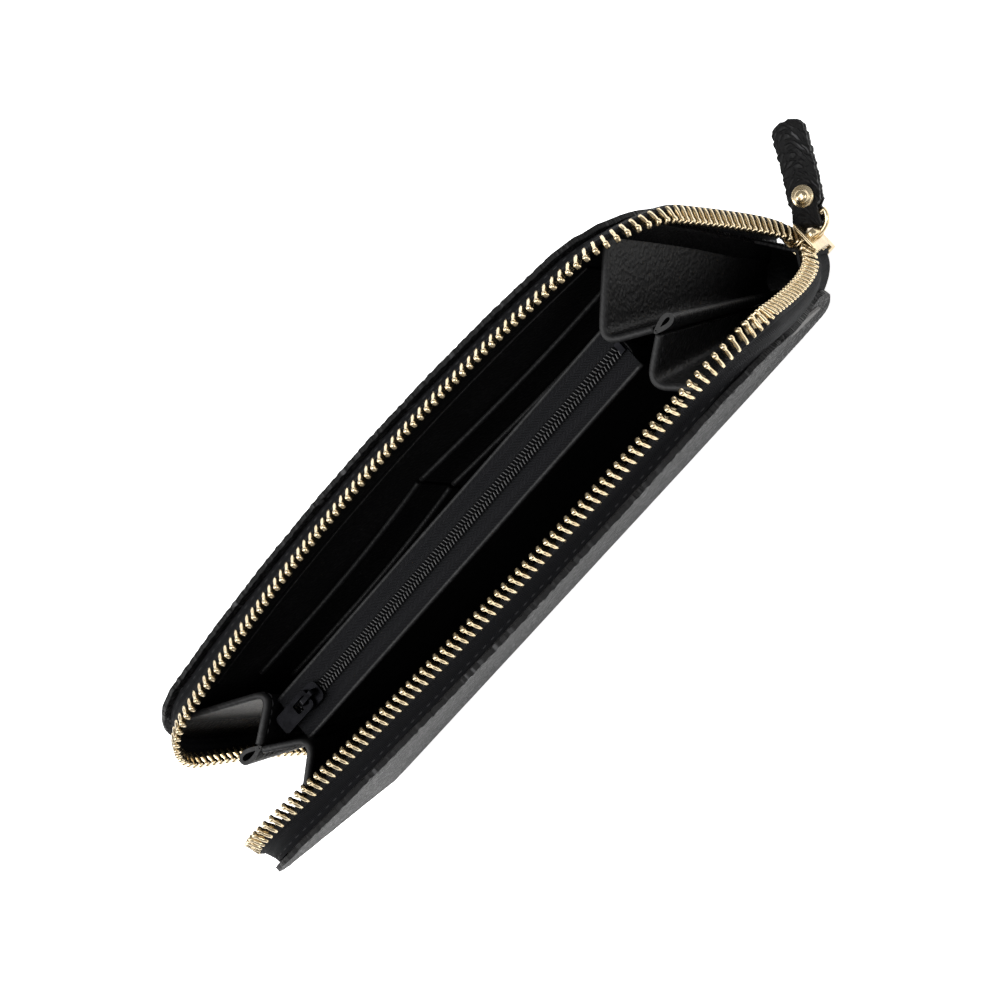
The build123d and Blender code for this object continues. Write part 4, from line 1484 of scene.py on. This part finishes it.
@dataclass
class PullRing:
    """D shaped wire ring: a straight bar for the tab and a half circle through the bridge."""

    root: tuple = (97.3, -0.5, 21.7)
    bar: tuple = (98.4, 3.5, 21.7)
    half: float = 4.4
    wire: float = 0.68
    fullness: float = 0.86
    sides: int = 12

    def make(self, shop: Workshop) -> None:
        """Builds the ring; its outline is a superellipse on the root's side of the bar."""
        bar, root = np.array(self.bar), np.array(self.root)
        reach = root - bar
        across = unit(np.array([-reach[1], reach[0], 0.0]))
        turn = np.linspace(0, np.pi, 33)
        wide = np.cos(turn) * self.half
        deep = np.sin(turn) ** self.fullness
        bow = bar + across * wide[:, None] + reach * deep[:, None]
        bar_run = np.linspace(-self.half, self.half, 14)[1:-1, None] * across + bar
        path = np.concatenate([bow, bar_run])
        ahead = unit(np.roll(path, -1, axis=0) - np.roll(path, 1, axis=0))
        up = np.array([0.0, 0.0, 1.0])
        side = unit(np.cross(ahead, up))
        ring = oval(2 * self.wire, 2 * self.wire, self.sides)
        points = path[:, None] + side[:, None] * ring[None, :, :1] + up * ring[None, :, 1:]
        rows = len(points)
        faces = quads(rows + 1, self.sides, True) % (rows * self.sides)
        piece = build("pull_ring_wire", points, outward(points, faces))
        shop.dress(piece, Finish.GOLD, Hold("pull_ring"), ("pull_ring",))


# ---------------------------------------------------------------- studio


@dataclass
class Studio:
    """Pale floor, soft lights and the camera."""

    eye: tuple = (0.2885145, -0.1678203, 0.6185520)
    right: tuple = (0.59787259, -0.63262457, -0.49227485)
    down: tuple = (-0.67550044, -0.72825942, 0.11548753)
    ahead: tuple = (-0.43156405, 0.26348504, -0.86274452)
    lens: float = 99.52
    floor: tuple = (0.93, 0.93, 0.93)

    def lamp(self, name: str, place: tuple, size: float, power: float) -> None:
        """A square soft light that faces the wallet."""
        data = bpy.data.lights.new(name, "AREA")
        data.size = size
        data.energy = power
        lamp = bpy.data.objects.new(name, data)
        target = np.array([0.0, 0.0, 0.05])
        back = unit(np.array(place) - target)
        side = unit(np.cross(np.array([0.03, 1.0, 0.1]), back))
        up = np.cross(back, side)
        turn = Matrix(np.stack([side, up, back], 1).tolist()).to_4x4()
        lamp.matrix_world = Matrix.Translation(place) @ turn
        bpy.context.scene.collection.objects.link(lamp)

    def make(self) -> None:
        """Sets up floor, world, lights and camera."""
        scene = bpy.context.scene
        scene.view_settings.view_transform = "Standard"
        mesh = bpy.data.meshes.new("floor")
        reach = 6.0
        corners = [(-reach, -reach, 0), (reach, -reach, 0), (reach, reach, 0), (-reach, reach, 0)]
        mesh.from_pydata(corners, [], [(0, 1, 2, 3)])
        floor = bpy.data.objects.new("floor", mesh)
        scene.collection.objects.link(floor)
        graph = Graph("pale_floor")
        paper = graph.noise(graph.where((0.02, 0.02, 0.02), False), 1.0)
        mesh.materials.append(
            graph.surface(
                Base_Color=graph.blend(paper, self.floor, (0.95, 0.95, 0.95)),
                Roughness=0.9,
                Specular_IOR_Level=0.1,
                Emission_Color=(1.0, 1.0, 1.0, 1.0),
                Emission_Strength=0.75,
            )
        )
        world = bpy.data.worlds.new("studio")
        scene.world = world
        world.use_nodes = True
        world.node_tree.nodes["Background"].inputs["Color"].default_value = (1, 1, 1, 1)
        world.node_tree.nodes["Background"].inputs["Strength"].default_value = 0.28
        self.lamp("overhead", (-0.2, 0.1, 1.5), 1.3, 24)
        self.lamp("window", (-1.1, 0.5, 0.8), 0.6, 9)
        self.lamp("fill", (0.9, -0.8, 0.9), 0.5, 5)
        data = bpy.data.cameras.new("camera")
        data.lens = self.lens
        data.sensor_width = 36.0
        data.clip_start, data.clip_end = 0.01, 50.0
        camera = bpy.data.objects.new("camera", data)
        axes = np.stack([np.array(self.right), -np.array(self.down), -np.array(self.ahead)], 1)
        camera.matrix_world = Matrix.Translation(self.eye) @ Matrix(axes.tolist()).to_4x4()
        scene.collection.objects.link(camera)
        scene.camera = camera


def main() -> None:
    """Builds the wallet in order."""
    logging.basicConfig(level=logging.INFO, format="%(name)s %(message)s")
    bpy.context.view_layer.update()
    Studio().make()
    shop = Workshop(Wardrobe())
    shape = Shape()
    for side in Side:
        Cover(side, shape).make(shop)
        ZipSide(side, shape).make(shop)
    SpineTongue(shape).make(shop)
    CardSide(shape).make(shop)
    SlipSide(shape).make(shop)
    CoinPocket().make(shop)
    left = ((-86.0, (-61.0, 7.6), (-71.9, 0.9)), (-78.5, (-60.0, -8.4), (-71.9, -0.9)))
    right = ((81.5, (64.5, 2.6), (75.1, -4.2)), (76.5, (66.0, -12.2), (75.1, -6.0)))
    Gusset(End.LEFT, shape, *left, (-78.6, 1.2)).make(shop)
    Gusset(End.RIGHT, shape, *right, (80.3, -5.3), bottom=15.0).make(shop)
    MainSlider().make(shop)
    PullRing().make(shop)
    LeatherTab().make(shop)
    shop.recolour(("zip_bottom_stop", "zip_top_stops"), Finish.GOLD)
    shop.recolour(("coin_slider", "coin_slider_bridge", "coin_pull", "coin_zip_stops"), Finish.BLACK)
    shop.recolour(("spine_board", "back_cover_board", "front_cover_board"), Finish.BOARD)
    LOG.info("%d pieces made", shop.count)


if __name__ == "__main__":
    main()
